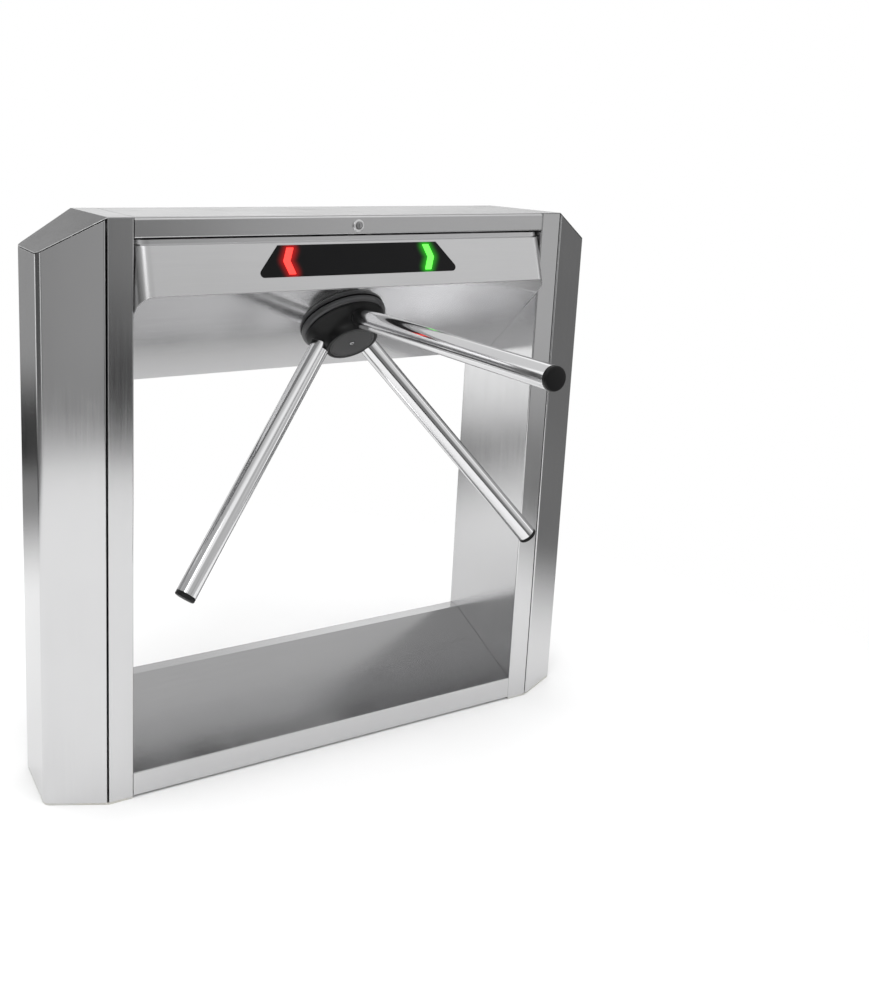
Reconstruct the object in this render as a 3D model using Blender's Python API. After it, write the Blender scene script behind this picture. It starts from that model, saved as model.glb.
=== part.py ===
"""Tripod turnstile in a free-standing folded-steel cabinet, one object for each real piece.

Two end posts carry an upper housing with a hinged lid, a leaning fascia with a glass display and
a sloped hub plate. A base tray ties the posts at the floor. Three tube arms turn on a shaft that
is square to the sloped plate, and the indexing, locking and damping gear sits on that shaft.

All sizes are metres, +Z is up, and people pass along X in front of the cabinet, on its -Y side.
"""

import math

import bmesh
import bpy
from mathutils import Matrix, Vector

# Cabinet
CABINET_HEIGHT = 1.020
CABINET_LENGTH = 1.120
CABINET_DEPTH = 0.216
CLEAR_SPAN = 0.824
STRIP_WIDTH = 0.044
END_CORNER_SETBACK = 0.043
TOP_CAP_DROP = 0.058
SHEET = 0.0015
SMALL_BEND = 0.0025
END_BEND = 0.014
SEAM_GAP = 0.0025
SEAM_RETURN = 0.012
FIT = 0.0003
FOOT_THICKNESS = 0.004
FOOT_INSET = 0.0008
ANCHOR_HOLE_RADIUS = 0.007
ANCHOR_PITCH = 0.062
ANCHOR_OFFSET = 0.050

# Base tray
TRAY_LIP_HEIGHT = 0.048
TRAY_LEDGE_HEIGHT = 0.128
TRAY_LEDGE_WIDTH = 0.026
TRAY_RETURN = 0.016

# Upper housing
BEAK_REACH = 0.030
BEAK_DROP = 0.124
FASCIA_TOP_REACH = 0.005
LEDGE_GAP = 0.003
LEDGE_RISE = 0.009
LEDGE_TOP_SETBACK = 0.002
FASCIA_CORNER = 0.026
FASCIA_SIDE_FLANGE = 0.034
FASCIA_TOP_FLANGE = 0.030
HOUSING_FLOOR_DEPTH = 0.070
HOUSING_BACK_FLANGE = 0.025
LID_SKIRT = 0.034
LID_BACK_SKIRT = 0.017
LID_BEND = 0.006
LID_END_GAP = 0.0008
LID_BACK_GAP = 0.002
SHAFT_HOLE_GAP = 0.003

# Lid hinge and cam lock
HINGE_KNUCKLE_RADIUS = 0.0035
HINGE_PIN_RADIUS = 0.0016
HINGE_LEAF_WIDTH = 0.0135
HINGE_LENGTH = 0.760
HINGE_KNUCKLES = 5
HINGE_END_PLAY = 0.0005
HINGE_DROP = 0.001
HINGE_PIN_END = 0.002
HINGE_PIN_HEAD = 0.0015
LOCK_DROP = 0.019
LOCK_FLANGE_RADIUS = 0.011
LOCK_FLANGE_THICKNESS = 0.0025
LOCK_BARREL_RADIUS = 0.0095
LOCK_BARREL_LENGTH = 0.022
LOCK_PLUG_RADIUS = 0.0065
LOCK_TAIL_RADIUS = 0.004
LOCK_CAM_LENGTH = 0.028
LOCK_CAM_WIDTH = 0.010
LOCK_CAM_THICKNESS = 0.0025
LOCK_NUT_RADIUS = 0.0125
LOCK_NUT_THICKNESS = 0.005
KEY_SLOT_WIDTH = 0.0014
KEY_SLOT_LENGTH = 0.0075
KEY_SLOT_DEPTH = 0.004
LOCK_EDGE = 0.001
KEEPER_BAR = 0.0025
KEEPER_CLEARANCE = 0.0025
KEEPER_MOUTH = 0.005
KEEPER_FOOT = 0.012

# Display
DISPLAY_TOP_WIDTH = 0.322
DISPLAY_BOTTOM_WIDTH = 0.412
DISPLAY_HEIGHT = 0.054
DISPLAY_RISE = 0.0235
DISPLAY_CORNER = 0.007
DISPLAY_TOP_CORNER = 0.0015
DISPLAY_FIT = 0.0004
GLASS_THICKNESS = 0.004
GLASS_PROUD = 0.0005
ARROW_HEIGHT = 0.047
ARROW_WIDTH = 0.0145
ARROW_POINT = 0.009
ARROW_OFFSET = 0.1375
BOARD_THICKNESS = 0.0016
INDICATOR_MARGIN = 0.004

# Rotor: the arms' axes meet on the shaft axis, at APEX
AXIS_TILT = math.radians(45.0)
APEX_DEPTH = 0.056
APEX_DROP = 0.180
SHAFT_RADIUS = 0.0137
SHAFT_FIT = 0.0003
SHAFT_FRONT = 0.064
SHAFT_CHAMFER = 0.0015
SHAFT_TAIL = 0.003
HUB_FLANGE_RADIUS = 0.080
HUB_FLANGE_THICKNESS = 0.0145
HUB_FLANGE_EDGE = 0.006
HUB_FLANGE_CHAMFER = 0.002
HUB_RUNNING_GAP = 0.0015
HUB_BASE_RADIUS = 0.070
HUB_BASE_EDGE = 0.003
HUB_WAIST_CURVE = 2.2
HUB_NOSE_RADIUS = 0.048
HUB_DEPTH = 0.0345
HUB_NOSE_CHAMFER = 0.0015
HUB_SOCKET_WALL = 0.0035
HUB_SOCKET_END = 0.092
HUB_CAP_RADIUS = 0.0425
HUB_CAP_THICKNESS = 0.0025
HUB_CAP_GROOVE = 0.0012
HUB_CAP_RIM = 0.004
HUB_CAP_EDGE = 0.0004
HUB_SCREW_RADIUS = 0.0042
HUB_SCREW_PROUD = 0.0006
HUB_SCREW_EDGE = 0.001
ARM_RADIUS = 0.018
ARM_WALL = 0.0015
ARM_REACH = 0.582
ARM_START = 0.073
ARM_CAP_THICKNESS = 0.008
ARM_CAP_PLUG = 0.022
ARM_CAP_EDGE = 0.0025

# Mechanism, measured along the shaft from APEX into the housing
HOUSING_TUBE_RADIUS = 0.032
HOUSING_FLANGE_RADIUS = 0.058
HOUSING_FLANGE_THICKNESS = 0.009
BEARING_RADIUS = 0.0257
BEARING_WIDTH = 0.012
BEARING_SHOULDER = 0.004
BEARING_FRONT_INSET = 0.002
BEARING_REAR_INSET = 0.0015
BEARING_SHIELD_WIDTH = 0.006
BEARING_SHIELD_DEPTH = 0.001
HOUSING_FILLET = 0.003
PLATE_LEVEL = 0.0603
PLATE_THICKNESS = 0.005
PLATE_HALF_LENGTH = 0.135
PLATE_FRONT = 0.085
PLATE_BACK = 0.088
PLATE_CORNER = 0.015
PLATE_SHAFT_GAP = 0.004
PLATE_STEM_GAP = 0.002
GEAR_LEVEL = 0.069
GEAR_WIDTH = 0.007
GEAR_MODULE = 0.002
GEAR_TEETH = 36
PINION_TEETH = 18
GEAR_BACKLASH = 0.0003
TOOTH_ROOT = 1.3
TOOTH_TIP = 0.95
PRESSURE_ANGLE = math.radians(20.0)
DISC_BOSS_RADIUS = 0.020
CAM_LEVEL = 0.082
CAM_WIDTH = 0.008
CAM_VALLEY_RADIUS = 0.034
CAM_LOBE_RADIUS = 0.046
LOCK_DISC_LEVEL = 0.096
LOCK_DISC_WIDTH = 0.007
LOCK_DISC_RADIUS = 0.050
NOTCH_DEPTH = 0.007
NOTCH_WIDTH = 0.013
NOTCHES = 6
ENCODER_LEVEL = 0.108
ENCODER_WIDTH = 0.002
ENCODER_RADIUS = 0.032
ENCODER_SLOT = 0.004
ENCODER_SLOTS = 18
ENCODER_POST_X = 0.016
ENCODER_POST_Y = 0.079
ENCODER_BOARD_WIDTH = 0.044
ENCODER_BOARD_GAP = 0.0014
ENCODER_OVERLAP = 0.003
ENCODER_EYE_WIDTH = 0.012
ENCODER_EYE_BACK = 0.004
ENCODER_EYE_STEP = 0.001
SHAFT_NUT_RADIUS = 0.019
SHAFT_NUT_WIDTH = 0.007
DAMPER_RADIUS = 0.018
DAMPER_LENGTH = 0.024
DAMPER_SHAFT_RADIUS = 0.005
DAMPER_FLOOR = 0.005
STUD_RADIUS = 0.004
STUD_FIT = 0.0003

# Centring lever
LEVER_ARM = 0.060
ROLLER_RADIUS = 0.008
ROLLER_PIN_RADIUS = 0.003
ROLLER_LIFT = 0.0005
LEVER_LEVEL = 0.0905
LEVER_THICKNESS = 0.005
LEVER_WIDTH = 0.012
SPRING_WIRE = 0.0008
SPRING_TURNS = 5
SPRING_STEPS = 8
SPRING_PITCH = 0.0028
SPRING_RADIUS = 0.0062
SPRING_LEG = 0.008

# Locking pawls and solenoids
PAWL_PIVOT_X = 0.066
PAWL_PIVOT_FRONT = 0.030
PAWL_THICKNESS = 0.0064
PAWL_WIDTH = 0.010
PAWL_LENGTH = 0.060
PAWL_EYE = 0.008
PAWL_NOSE_DROP = 0.033
PAWL_NOSE_WIDTH = 0.008
PAWL_NOSE_GAP = 0.0012
PAWL_NOSE_TAPER = 0.001
PLUNGER_DROP = 0.050
PLUNGER_RADIUS = 0.005
PLUNGER_TIP = 0.004
PLUNGER_LENGTH = 0.040
PLUNGER_GAP = 0.0004
SOLENOID_STANDOFF = 0.013
SOLENOID_LENGTH = 0.045
SOLENOID_WIDTH = 0.028

# Electronics
POWER_SUPPLY_LENGTH = 0.140
POWER_SUPPLY_DEPTH = 0.052
POWER_SUPPLY_HEIGHT = 0.036
POWER_SUPPLY_PLACE = -0.290
POWER_SUPPLY_GAP = 0.004
CONTROL_BOARD_LENGTH = 0.170
CONTROL_BOARD_HEIGHT = 0.120
CONTROL_BOARD_PLACE = 0.270
CONTROL_BOARD_LIFT = 0.070
STANDOFF = 0.008
STANDOFF_RADIUS = 0.003
STANDOFF_INSET = 0.008
RELAYS = 3
RELAY_START = 0.030
RELAY_PITCH = 0.040
RELAY_LENGTH = 0.022
RELAY_DEPTH = 0.0152
RELAY_HEIGHT = 0.030
RELAY_RISE = 0.020

FINE_ROUND = 40
ARM_ROUND = 28
ROUND = 24
SMALL_ROUND = 16
TINY_ROUND = 10
BEND_STEPS = 3
CORNER_STEPS = 6

# Worked-out sizes
HALF_SPAN = CLEAR_SPAN / 2
SEAM_X = HALF_SPAN + STRIP_WIDTH
COVER_X = SEAM_X + SEAM_GAP
END_X = CABINET_LENGTH / 2
HINGE_DEPTH = CABINET_DEPTH + HINGE_KNUCKLE_RADIUS + 2 * FIT
HINGE_HEIGHT = CABINET_HEIGHT - LID_BACK_SKIRT - HINGE_DROP
BEAK_HEIGHT = CABINET_HEIGHT - BEAK_DROP
LEDGE_TOP_HEIGHT = CABINET_HEIGHT - LID_SKIRT - LEDGE_GAP
FASCIA_TOP_HEIGHT = LEDGE_TOP_HEIGHT - LEDGE_RISE
LOCK_HEIGHT = CABINET_HEIGHT - LOCK_DROP
APEX_HEIGHT = CABINET_HEIGHT - APEX_DROP
FLOOR_FOLD_DEPTH = CABINET_DEPTH - HOUSING_FLOOR_DEPTH
HOUSING_FLOOR_HEIGHT = BEAK_HEIGHT - (FLOOR_FOLD_DEPTH + BEAK_REACH) * math.tan(AXIS_TILT)
BEAK_BELOW_APEX = APEX_HEIGHT - BEAK_HEIGHT
HUB_PLATE_LEVEL = (APEX_DEPTH + BEAK_REACH) * math.sin(AXIS_TILT) + BEAK_BELOW_APEX * math.cos(AXIS_TILT)
FLANGE_LEVEL = HUB_PLATE_LEVEL + HUB_RUNNING_GAP
HUB_LEVEL = FLANGE_LEVEL + HUB_FLANGE_THICKNESS + FIT
GEAR_CENTRES = GEAR_MODULE * (GEAR_TEETH + PINION_TEETH) / 2 + GEAR_BACKLASH
PLATE_TOP = PLATE_LEVEL + PLATE_THICKNESS
BORE = SHAFT_RADIUS + SHAFT_FIT
LOCK_DISC_TOP = LOCK_DISC_LEVEL + LOCK_DISC_WIDTH
ENCODER_BOARD_LEVEL = LOCK_DISC_TOP + ENCODER_BOARD_GAP
ENCODER_TOP = ENCODER_LEVEL + ENCODER_WIDTH
THIRD_TURN = 2 * math.pi / 3
FRONT_EDGE = APEX_DEPTH - ARM_REACH
BACK_EDGE = HINGE_DEPTH + HINGE_KNUCKLE_RADIUS
CENTRE_SHIFT = -(FRONT_EDGE + BACK_EDGE) / 2

# Turns a solid drawn in (y, z) and run along its third direction onto the X axis
ALONG_X = Matrix(((0, 0, 1, 0), (1, 0, 0, 0), (0, 1, 0, 0), (0, 0, 0, 1)))


# Scene and materials

def clear_scene():
    for obj in list(bpy.data.objects):
        bpy.data.objects.remove(obj, do_unlink=True)


def material(name, colour, roughness, metallic=0.0, glow=None):
    made = bpy.data.materials.get(name)
    if made:
        return made
    made = bpy.data.materials.new(name)
    made.use_nodes = True
    shader = made.node_tree.nodes["Principled BSDF"]
    shader.inputs["Base Color"].default_value = (*colour, 1.0)
    shader.inputs["Roughness"].default_value = roughness
    shader.inputs["Metallic"].default_value = metallic
    if glow:
        shader.inputs["Emission Color"].default_value = (*glow, 1.0)
        shader.inputs["Emission Strength"].default_value = 3.0
    made.diffuse_color = (*colour, 1.0)
    return made


def brushed_steel():
    return material("brushed_stainless", (0.56, 0.56, 0.57), 0.28, 1.0)


def polished_steel():
    return material("polished_tube", (0.72, 0.72, 0.73), 0.08, 1.0)


def machined_steel():
    return material("machined_steel", (0.45, 0.46, 0.48), 0.35, 1.0)


def zinc_plate():
    return material("zinc_plate", (0.62, 0.62, 0.58), 0.4, 1.0)


def chrome():
    return material("chrome_lock", (0.85, 0.85, 0.86), 0.1, 1.0)


def black_plastic():
    return material("black_plastic", (0.018, 0.018, 0.019), 0.42)


def black_glass():
    return material("black_glass", (0.006, 0.006, 0.007), 0.06)


def board_green():
    return material("circuit_board", (0.02, 0.12, 0.05), 0.5)


def empty(name, location, parent=None, tilt=0.0):
    obj = bpy.data.objects.new(name, None)
    obj.empty_display_size = 0.03
    obj.location = location
    obj.rotation_euler = (tilt, 0.0, 0.0)
    obj.parent = parent
    bpy.context.collection.objects.link(obj)
    return obj


def add_object(name, mesh_data, surface, parent, matrix=None):
    """Turn a bmesh into a named, shaded object with its faces pointing out."""
    bmesh.ops.recalc_face_normals(mesh_data, faces=mesh_data.faces)
    mesh = bpy.data.meshes.new(name)
    mesh_data.to_mesh(mesh)
    mesh_data.free()
    mesh.materials.append(surface)
    mesh.shade_smooth()
    mesh.set_sharp_from_angle(angle=math.radians(32.0))
    obj = bpy.data.objects.new(name, mesh)
    bpy.context.collection.objects.link(obj)
    obj.parent = parent
    if matrix is not None:
        obj.matrix_basis = matrix
    return obj


def cutter(name, mesh_data, parent, matrix=None):
    """A guide body that a Boolean uses and that isn't part of the model."""
    obj = add_object(name, mesh_data, machined_steel(), parent, matrix)
    obj.hide_render = True
    obj.display_type = "WIRE"
    return obj


def boolean(obj, tool, operation):
    step = obj.modifiers.new(f"{operation.lower()}_{tool.name}", "BOOLEAN")
    step.object = tool
    step.operation = operation
    step.solver = "EXACT"


# Outlines

def rounded_path(points, radii, steps=BEND_STEPS):
    """Round the inner corners of an open path, each by its own radius."""
    corners = [Vector(p) for p in points]
    path = [corners[0]]
    for before, corner, after, radius in zip(corners, corners[1:], corners[2:], radii):
        path += corner_arc(before, corner, after, radius, steps)
    path.append(corners[-1])
    return path


def corner_arc(before, corner, after, radius, steps):
    back = (before - corner).normalized()
    ahead = (after - corner).normalized()
    half = back.angle(ahead) / 2
    run = radius / math.tan(half)
    centre = corner + (back + ahead).normalized() * radius / math.sin(half)
    start = corner + back * run - centre
    sweep = start.angle_signed(corner + ahead * run - centre)
    points = []
    for step in range(steps + 1):
        turn = -sweep * step / steps
        spun = Vector((start.x * math.cos(turn) - start.y * math.sin(turn),
                       start.x * math.sin(turn) + start.y * math.cos(turn)))
        points.append(centre + spun)
    return points


def offset_path(points, distance):
    """Move an open path sideways, to the left of its direction, with mitred corners."""
    corners = [Vector(p) for p in points]
    moved = []
    for place, corner in enumerate(corners):
        ahead = corners[min(place + 1, len(corners) - 1)] - corners[min(place, len(corners) - 2)]
        behind = corners[max(place, 1)] - corners[max(place - 1, 0)]
        left_ahead = Vector((-ahead.y, ahead.x)).normalized()
        left_behind = Vector((-behind.y, behind.x)).normalized()
        mitre = (left_ahead + left_behind).normalized()
        moved.append(corner + mitre * distance / mitre.dot(left_ahead))
    return moved


def sheet_sides(points, radii, thickness, steps=BEND_STEPS):
    """Both faces of a folded sheet whose drawn path is its outer face; the metal lies to the left."""
    corners = [Vector(p) for p in points]
    inner_radii = []
    for before, corner, after, radius in zip(corners, corners[1:], corners[2:], radii):
        turn = (corner - before).cross(after - corner)
        inner_radii.append(max(radius - thickness, FIT) if turn > 0 else radius + thickness)
    outer = rounded_path(corners, radii, steps)
    inner = rounded_path(offset_path(corners, thickness), inner_radii, steps)
    return outer, inner


def closed_outline(points, radii, steps=BEND_STEPS):
    """Round every corner of a closed outline."""
    corners = [Vector(p) for p in points]
    outline = []
    for place, corner in enumerate(corners):
        before = corners[place - 1]
        after = corners[(place + 1) % len(corners)]
        if radii[place] > 0:
            outline += corner_arc(before, corner, after, radii[place], steps)
        else:
            outline.append(corner)
    return outline


def circle(radius, segments=ROUND, centre=(0.0, 0.0), start=0.0):
    turns = (start + 2 * math.pi * step / segments for step in range(segments))
    return [Vector((centre[0] + radius * math.cos(t), centre[1] + radius * math.sin(t))) for t in turns]


def rectangle(low_x, low_y, high_x, high_y):
    return [Vector(p) for p in ((low_x, low_y), (high_x, low_y), (high_x, high_y), (low_x, high_y))]


# Solids

def lofted_sheet(name, levels, surface, parent):
    """A bent sheet: each level is its outer and its inner line of points, in space."""
    data = bmesh.new()
    outer = [[data.verts.new(p) for p in level[0]] for level in levels]
    inner = [[data.verts.new(p) for p in level[1]] for level in levels]
    last = len(outer[0]) - 1
    for below, above in zip(range(len(levels) - 1), range(1, len(levels))):
        for rows in (outer, inner):
            for place in range(last):
                data.faces.new((rows[below][place], rows[below][place + 1],
                                rows[above][place + 1], rows[above][place]))
        for place in (0, last):
            data.faces.new((outer[below][place], outer[above][place],
                            inner[above][place], inner[below][place]))
    for level in (0, -1):
        for place in range(last):
            data.faces.new((outer[level][place], outer[level][place + 1],
                            inner[level][place + 1], inner[level][place]))
    return add_object(name, data, surface, parent)


def folded_sheet(name, sides, place, low, high, surface, parent):
    """A folded sheet run from low(point) to high(point) along the direction that place() gives."""
    levels = []
    for limit in (low, high):
        levels.append(tuple([place(point, limit(point)) for point in side] for side in sides))
    return lofted_sheet(name, levels, surface, parent)


def along_x(point, value):
    return (value, point.x, point.y)


def prism(outline, low, high, holes=()):
    """A flat plate from low to high along Z, with through holes."""
    data = bmesh.new()
    for ring in (outline, *holes):
        verts = [data.verts.new((p[0], p[1], low)) for p in ring]
        for place, vert in enumerate(verts):
            data.edges.new((vert, verts[(place + 1) % len(verts)]))
    if holes:
        bmesh.ops.triangle_fill(data, use_beauty=True, edges=data.edges)
    else:
        data.faces.new(data.verts)
    floor = list(data.faces)
    raised = bmesh.ops.extrude_face_region(data, geom=floor)
    lifted = [part for part in raised["geom"] if isinstance(part, bmesh.types.BMVert)]
    bmesh.ops.translate(data, verts=lifted, vec=(0.0, 0.0, high - low))
    return data


def add_prism(name, outline, low, high, surface, parent, holes=(), matrix=None):
    return add_object(name, prism(outline, low, high, holes), surface, parent, matrix)


def turned(profile, segments=ROUND):
    """Spin a profile of (radius, z) points about Z; it closes on itself or ends on the axis."""
    data = bmesh.new()
    rings = []
    for radius, height in profile:
        if radius < 1e-9:
            rings.append([data.verts.new((0.0, 0.0, height))])
            continue
        rings.append([data.verts.new((p.x, p.y, height)) for p in circle(radius, segments)])
    on_axis = len(rings[0]) == 1
    pairs = list(zip(rings, rings[1:]))
    if not on_axis:
        pairs.append((rings[-1], rings[0]))
    for lower, upper in pairs:
        for step in range(segments):
            after = (step + 1) % segments
            quad = [lower[step % len(lower)], lower[after % len(lower)],
                    upper[after % len(upper)], upper[step % len(upper)]]
            data.faces.new(list(dict.fromkeys(quad)))
    return data


def add_turned(name, profile, surface, parent, segments=ROUND, matrix=None):
    return add_object(name, turned(profile, segments), surface, parent, matrix)


def cylinder(radius, low, high, segments=ROUND, matrix=None):
    data = prism(circle(radius, segments), low, high)
    if matrix is not None:
        bmesh.ops.transform(data, matrix=matrix, verts=data.verts)
    return data


def block(low, high):
    return prism(rectangle(low[0], low[1], high[0], high[1]), low[2], high[2])


def joined(solids):
    """Put several closed solids into one mesh, for use as one cutter."""
    data = bmesh.new()
    for solid in solids:
        bmesh.ops.recalc_face_normals(solid, faces=solid.faces)
        mesh = bpy.data.meshes.new("guide")
        solid.to_mesh(mesh)
        solid.free()
        data.from_mesh(mesh)
        bpy.data.meshes.remove(mesh)
    return data


# Posts

def cap_height(x):
    """Height of the outer top surface at a distance x from the middle of the cabinet."""
    slope = TOP_CAP_DROP / (END_X - SEAM_X)
    return CABINET_HEIGHT - max(0.0, abs(x) - SEAM_X) * slope


def end_corners(start_x):
    """Corner points of the end's plan, from its front seam round to its back seam."""
    return [Vector(p) for p in ((start_x, 0.0), (END_X, END_CORNER_SETBACK),
                                (END_X, CABINET_DEPTH - END_CORNER_SETBACK), (start_x, CABINET_DEPTH))]


def make_post(side, label, root):
    def standing(point, height):
        return (side * point.x, point.y, height)

    frame_path = [(SEAM_X, SEAM_RETURN), (SEAM_X, 0.0), (HALF_SPAN, 0.0), (HALF_SPAN, CABINET_DEPTH),
                  (SEAM_X, CABINET_DEPTH), (SEAM_X, CABINET_DEPTH - SEAM_RETURN)]
    frame_sides = sheet_sides(frame_path, [SMALL_BEND] * 4, -SHEET)
    frame_top = CABINET_HEIGHT - SHEET - FIT
    folded_sheet(f"{label}_post_frame", frame_sides, standing, lambda p: FOOT_THICKNESS + FIT,
                 lambda p: frame_top, brushed_steel(), root)

    cover_path = [(COVER_X, SEAM_RETURN), *end_corners(COVER_X), (COVER_X, CABINET_DEPTH - SEAM_RETURN)]
    cover_sides = sheet_sides(cover_path, [SMALL_BEND, END_BEND, END_BEND, SMALL_BEND], SHEET)
    folded_sheet(f"{label}_end_cover", cover_sides, standing, lambda p: FOOT_THICKNESS + FIT,
                 lambda p: cap_height(p.x) - SHEET - FIT, brushed_steel(), root)
    make_top_cap(side, label, root)
    make_foot(side, label, root)


def make_top_cap(side, label, root):
    """The flat strip of the post's top and the slope beyond it, folded from one sheet."""
    slope_edge = rounded_path(end_corners(SEAM_X), [END_BEND, END_BEND])
    strip = [Vector((HALF_SPAN, 0.0)), slope_edge[0], slope_edge[-1], Vector((HALF_SPAN, CABINET_DEPTH))]
    data = bmesh.new()
    top = {}
    bottom = {}

    def corner(point, level, thickness):
        key = (round(point.x, 6), round(point.y, 6))
        if key not in level:
            height = cap_height(point.x) - thickness
            level[key] = data.verts.new((side * point.x, point.y, height))
        return level[key]

    for outline in (strip, slope_edge):
        data.faces.new([corner(p, top, 0.0) for p in outline])
        data.faces.new([corner(p, bottom, SHEET) for p in outline])
    rim = [strip[3], strip[0], *slope_edge]
    for start, end in zip(rim, [*rim[1:], rim[0]]):
        data.faces.new((corner(start, top, 0.0), corner(end, top, 0.0),
                        corner(end, bottom, SHEET), corner(start, bottom, SHEET)))
    add_object(f"{label}_top_cap", data, brushed_steel(), root)


def make_foot(side, label, root):
    """The base plate that the post's walls stand on, drilled for floor anchors."""
    path = [Vector((HALF_SPAN, 0.0)), *end_corners(SEAM_X), Vector((HALF_SPAN, CABINET_DEPTH))]
    outline = rounded_path(offset_path(path, FOOT_INSET), [FIT, END_BEND, END_BEND, FIT])
    for corner in (outline[0], outline[-1]):
        corner.x += FOOT_INSET
    plan = [Vector((side * p.x, p.y)) for p in outline]
    middle = CABINET_DEPTH / 2
    across = side * (HALF_SPAN + ANCHOR_OFFSET)
    holes = [circle(ANCHOR_HOLE_RADIUS, TINY_ROUND, (across, middle + step * ANCHOR_PITCH))
             for step in (-1, 0, 1)]
    add_prism(f"{label}_foot_plate", plan, 0.0, FOOT_THICKNESS, zinc_plate(), root, holes)


# Base tray

def make_tray(root):
    front = FIT * 2
    floor = FOOT_THICKNESS + FIT
    back = CABINET_DEPTH - front
    path = [(front + TRAY_RETURN, floor), (front, floor), (front, TRAY_LIP_HEIGHT),
            (back - TRAY_LEDGE_WIDTH, TRAY_LEDGE_HEIGHT), (back, TRAY_LEDGE_HEIGHT), (back, floor),
            (back - TRAY_RETURN, floor)]
    sides = sheet_sides(path, [SMALL_BEND] * 5, -SHEET)
    half = HALF_SPAN - FIT
    folded_sheet("base_tray", sides, along_x, lambda p: -half, lambda p: half, brushed_steel(), root)


# Upper housing

def beak_half_width(depth):
    """Half the housing's width at a depth, with the round corners of its front in plan."""
    half = HALF_SPAN - FIT
    start = FASCIA_CORNER - BEAK_REACH
    if depth >= start:
        return half
    drop = min(start - depth, FASCIA_CORNER)
    return half - FASCIA_CORNER + math.sqrt(FASCIA_CORNER ** 2 - drop ** 2)


def make_hub_plate(root, axis_frame):
    """The sloped plate, the housing's floor and its back flange, folded from one sheet."""
    fall = math.tan(AXIS_TILT)
    back = CABINET_DEPTH - SHEET - FIT
    edge = 2 * FIT
    turns = [math.pi / 2 * step / CORNER_STEPS for step in range(CORNER_STEPS + 1)]
    corner = [FASCIA_CORNER * (1 - math.cos(turn)) for turn in turns]
    slope = [Vector((-BEAK_REACH + edge + run, BEAK_HEIGHT - (edge + run) * fall)) for run in corner]
    path = [*slope, Vector((FLOOR_FOLD_DEPTH, HOUSING_FLOOR_HEIGHT)), Vector((back, HOUSING_FLOOR_HEIGHT)),
            Vector((back, HOUSING_FLOOR_HEIGHT + HOUSING_BACK_FLANGE))]
    outer = path[:len(slope)] + rounded_path(path[len(slope) - 1:], [SMALL_BEND] * 2)[1:]
    lifted = offset_path(path, SHEET)
    inner_bend = max(SMALL_BEND - SHEET, FIT)
    inner = lifted[:len(slope)] + rounded_path(lifted[len(slope) - 1:], [inner_bend] * 2)[1:]
    widths = [beak_half_width(point.x) for point in outer]
    levels = []
    for sign in (-1, 1):
        levels.append(([(sign * w, p.x, p.y) for p, w in zip(outer, widths)],
                       [(sign * w, p.x, p.y) for p, w in zip(inner, widths)]))
    plate = lofted_sheet("hub_plate", levels, brushed_steel(), root)
    reach = HUB_PLATE_LEVEL + BEAK_REACH
    hole = cutter("hub_plate_hole", cylinder(SHAFT_RADIUS + SHAFT_HOLE_GAP, -reach, 0.0), axis_frame)
    boolean(plate, hole, "DIFFERENCE")


def fascia_frame():
    """Local frame on the leaning face: X along the cabinet, Y up the lean, Z outward."""
    lean = math.atan2(FASCIA_TOP_HEIGHT - BEAK_HEIGHT, BEAK_REACH - FASCIA_TOP_REACH)
    return Matrix.Translation((0.0, -BEAK_REACH, BEAK_HEIGHT)) @ Matrix.Rotation(lean, 4, "X")


def fascia_level(front, height):
    """The fascia's plan line at one height, outer face and inner face."""
    half = HALF_SPAN - FIT
    path = [(-half, FASCIA_SIDE_FLANGE), (-half, front), (half, front), (half, FASCIA_SIDE_FLANGE)]
    outer, inner = sheet_sides(path, [FASCIA_CORNER] * 2, SHEET, CORNER_STEPS)
    return [(p.x, p.y, height) for p in outer], [(p.x, p.y, height) for p in inner]


def display_outline(grow=0.0):
    bottom = DISPLAY_RISE - grow
    top = DISPLAY_RISE + DISPLAY_HEIGHT + grow
    low = DISPLAY_BOTTOM_WIDTH / 2 + 1.6 * grow
    high = DISPLAY_TOP_WIDTH / 2 + 0.7 * grow
    corners = [(-low, bottom), (low, bottom), (high, top), (-high, top)]
    round_low = DISPLAY_CORNER + grow
    round_high = DISPLAY_TOP_CORNER + grow
    return closed_outline(corners, [round_low, round_low, round_high, round_high])


def arrow_outline(side, shrink=0.0):
    """A plain chevron that points outward, on the display's left (-1) or right (+1)."""
    middle = DISPLAY_RISE + DISPLAY_HEIGHT / 2
    half = ARROW_HEIGHT / 2 - shrink
    near = ARROW_OFFSET - ARROW_WIDTH / 2 + shrink
    far = ARROW_OFFSET + ARROW_WIDTH / 2 - shrink
    points = [(near, middle - half), (far, middle - half), (far + ARROW_POINT, middle),
              (far, middle + half), (near, middle + half), (near + ARROW_POINT, middle)]
    outline = [Vector((side * x, y)) for x, y in points]
    return outline if side > 0 else outline[::-1]


def fascia_foot(point):
    """A point of the fascia's lower edge, which stands on the hub plate round the corners."""
    plate = (SHEET + FIT) / math.cos(AXIS_TILT) - (point[1] + BEAK_REACH) * math.tan(AXIS_TILT)
    return (point[0], point[1], BEAK_HEIGHT + min(SHEET * math.sin(AXIS_TILT), plate))


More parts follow.
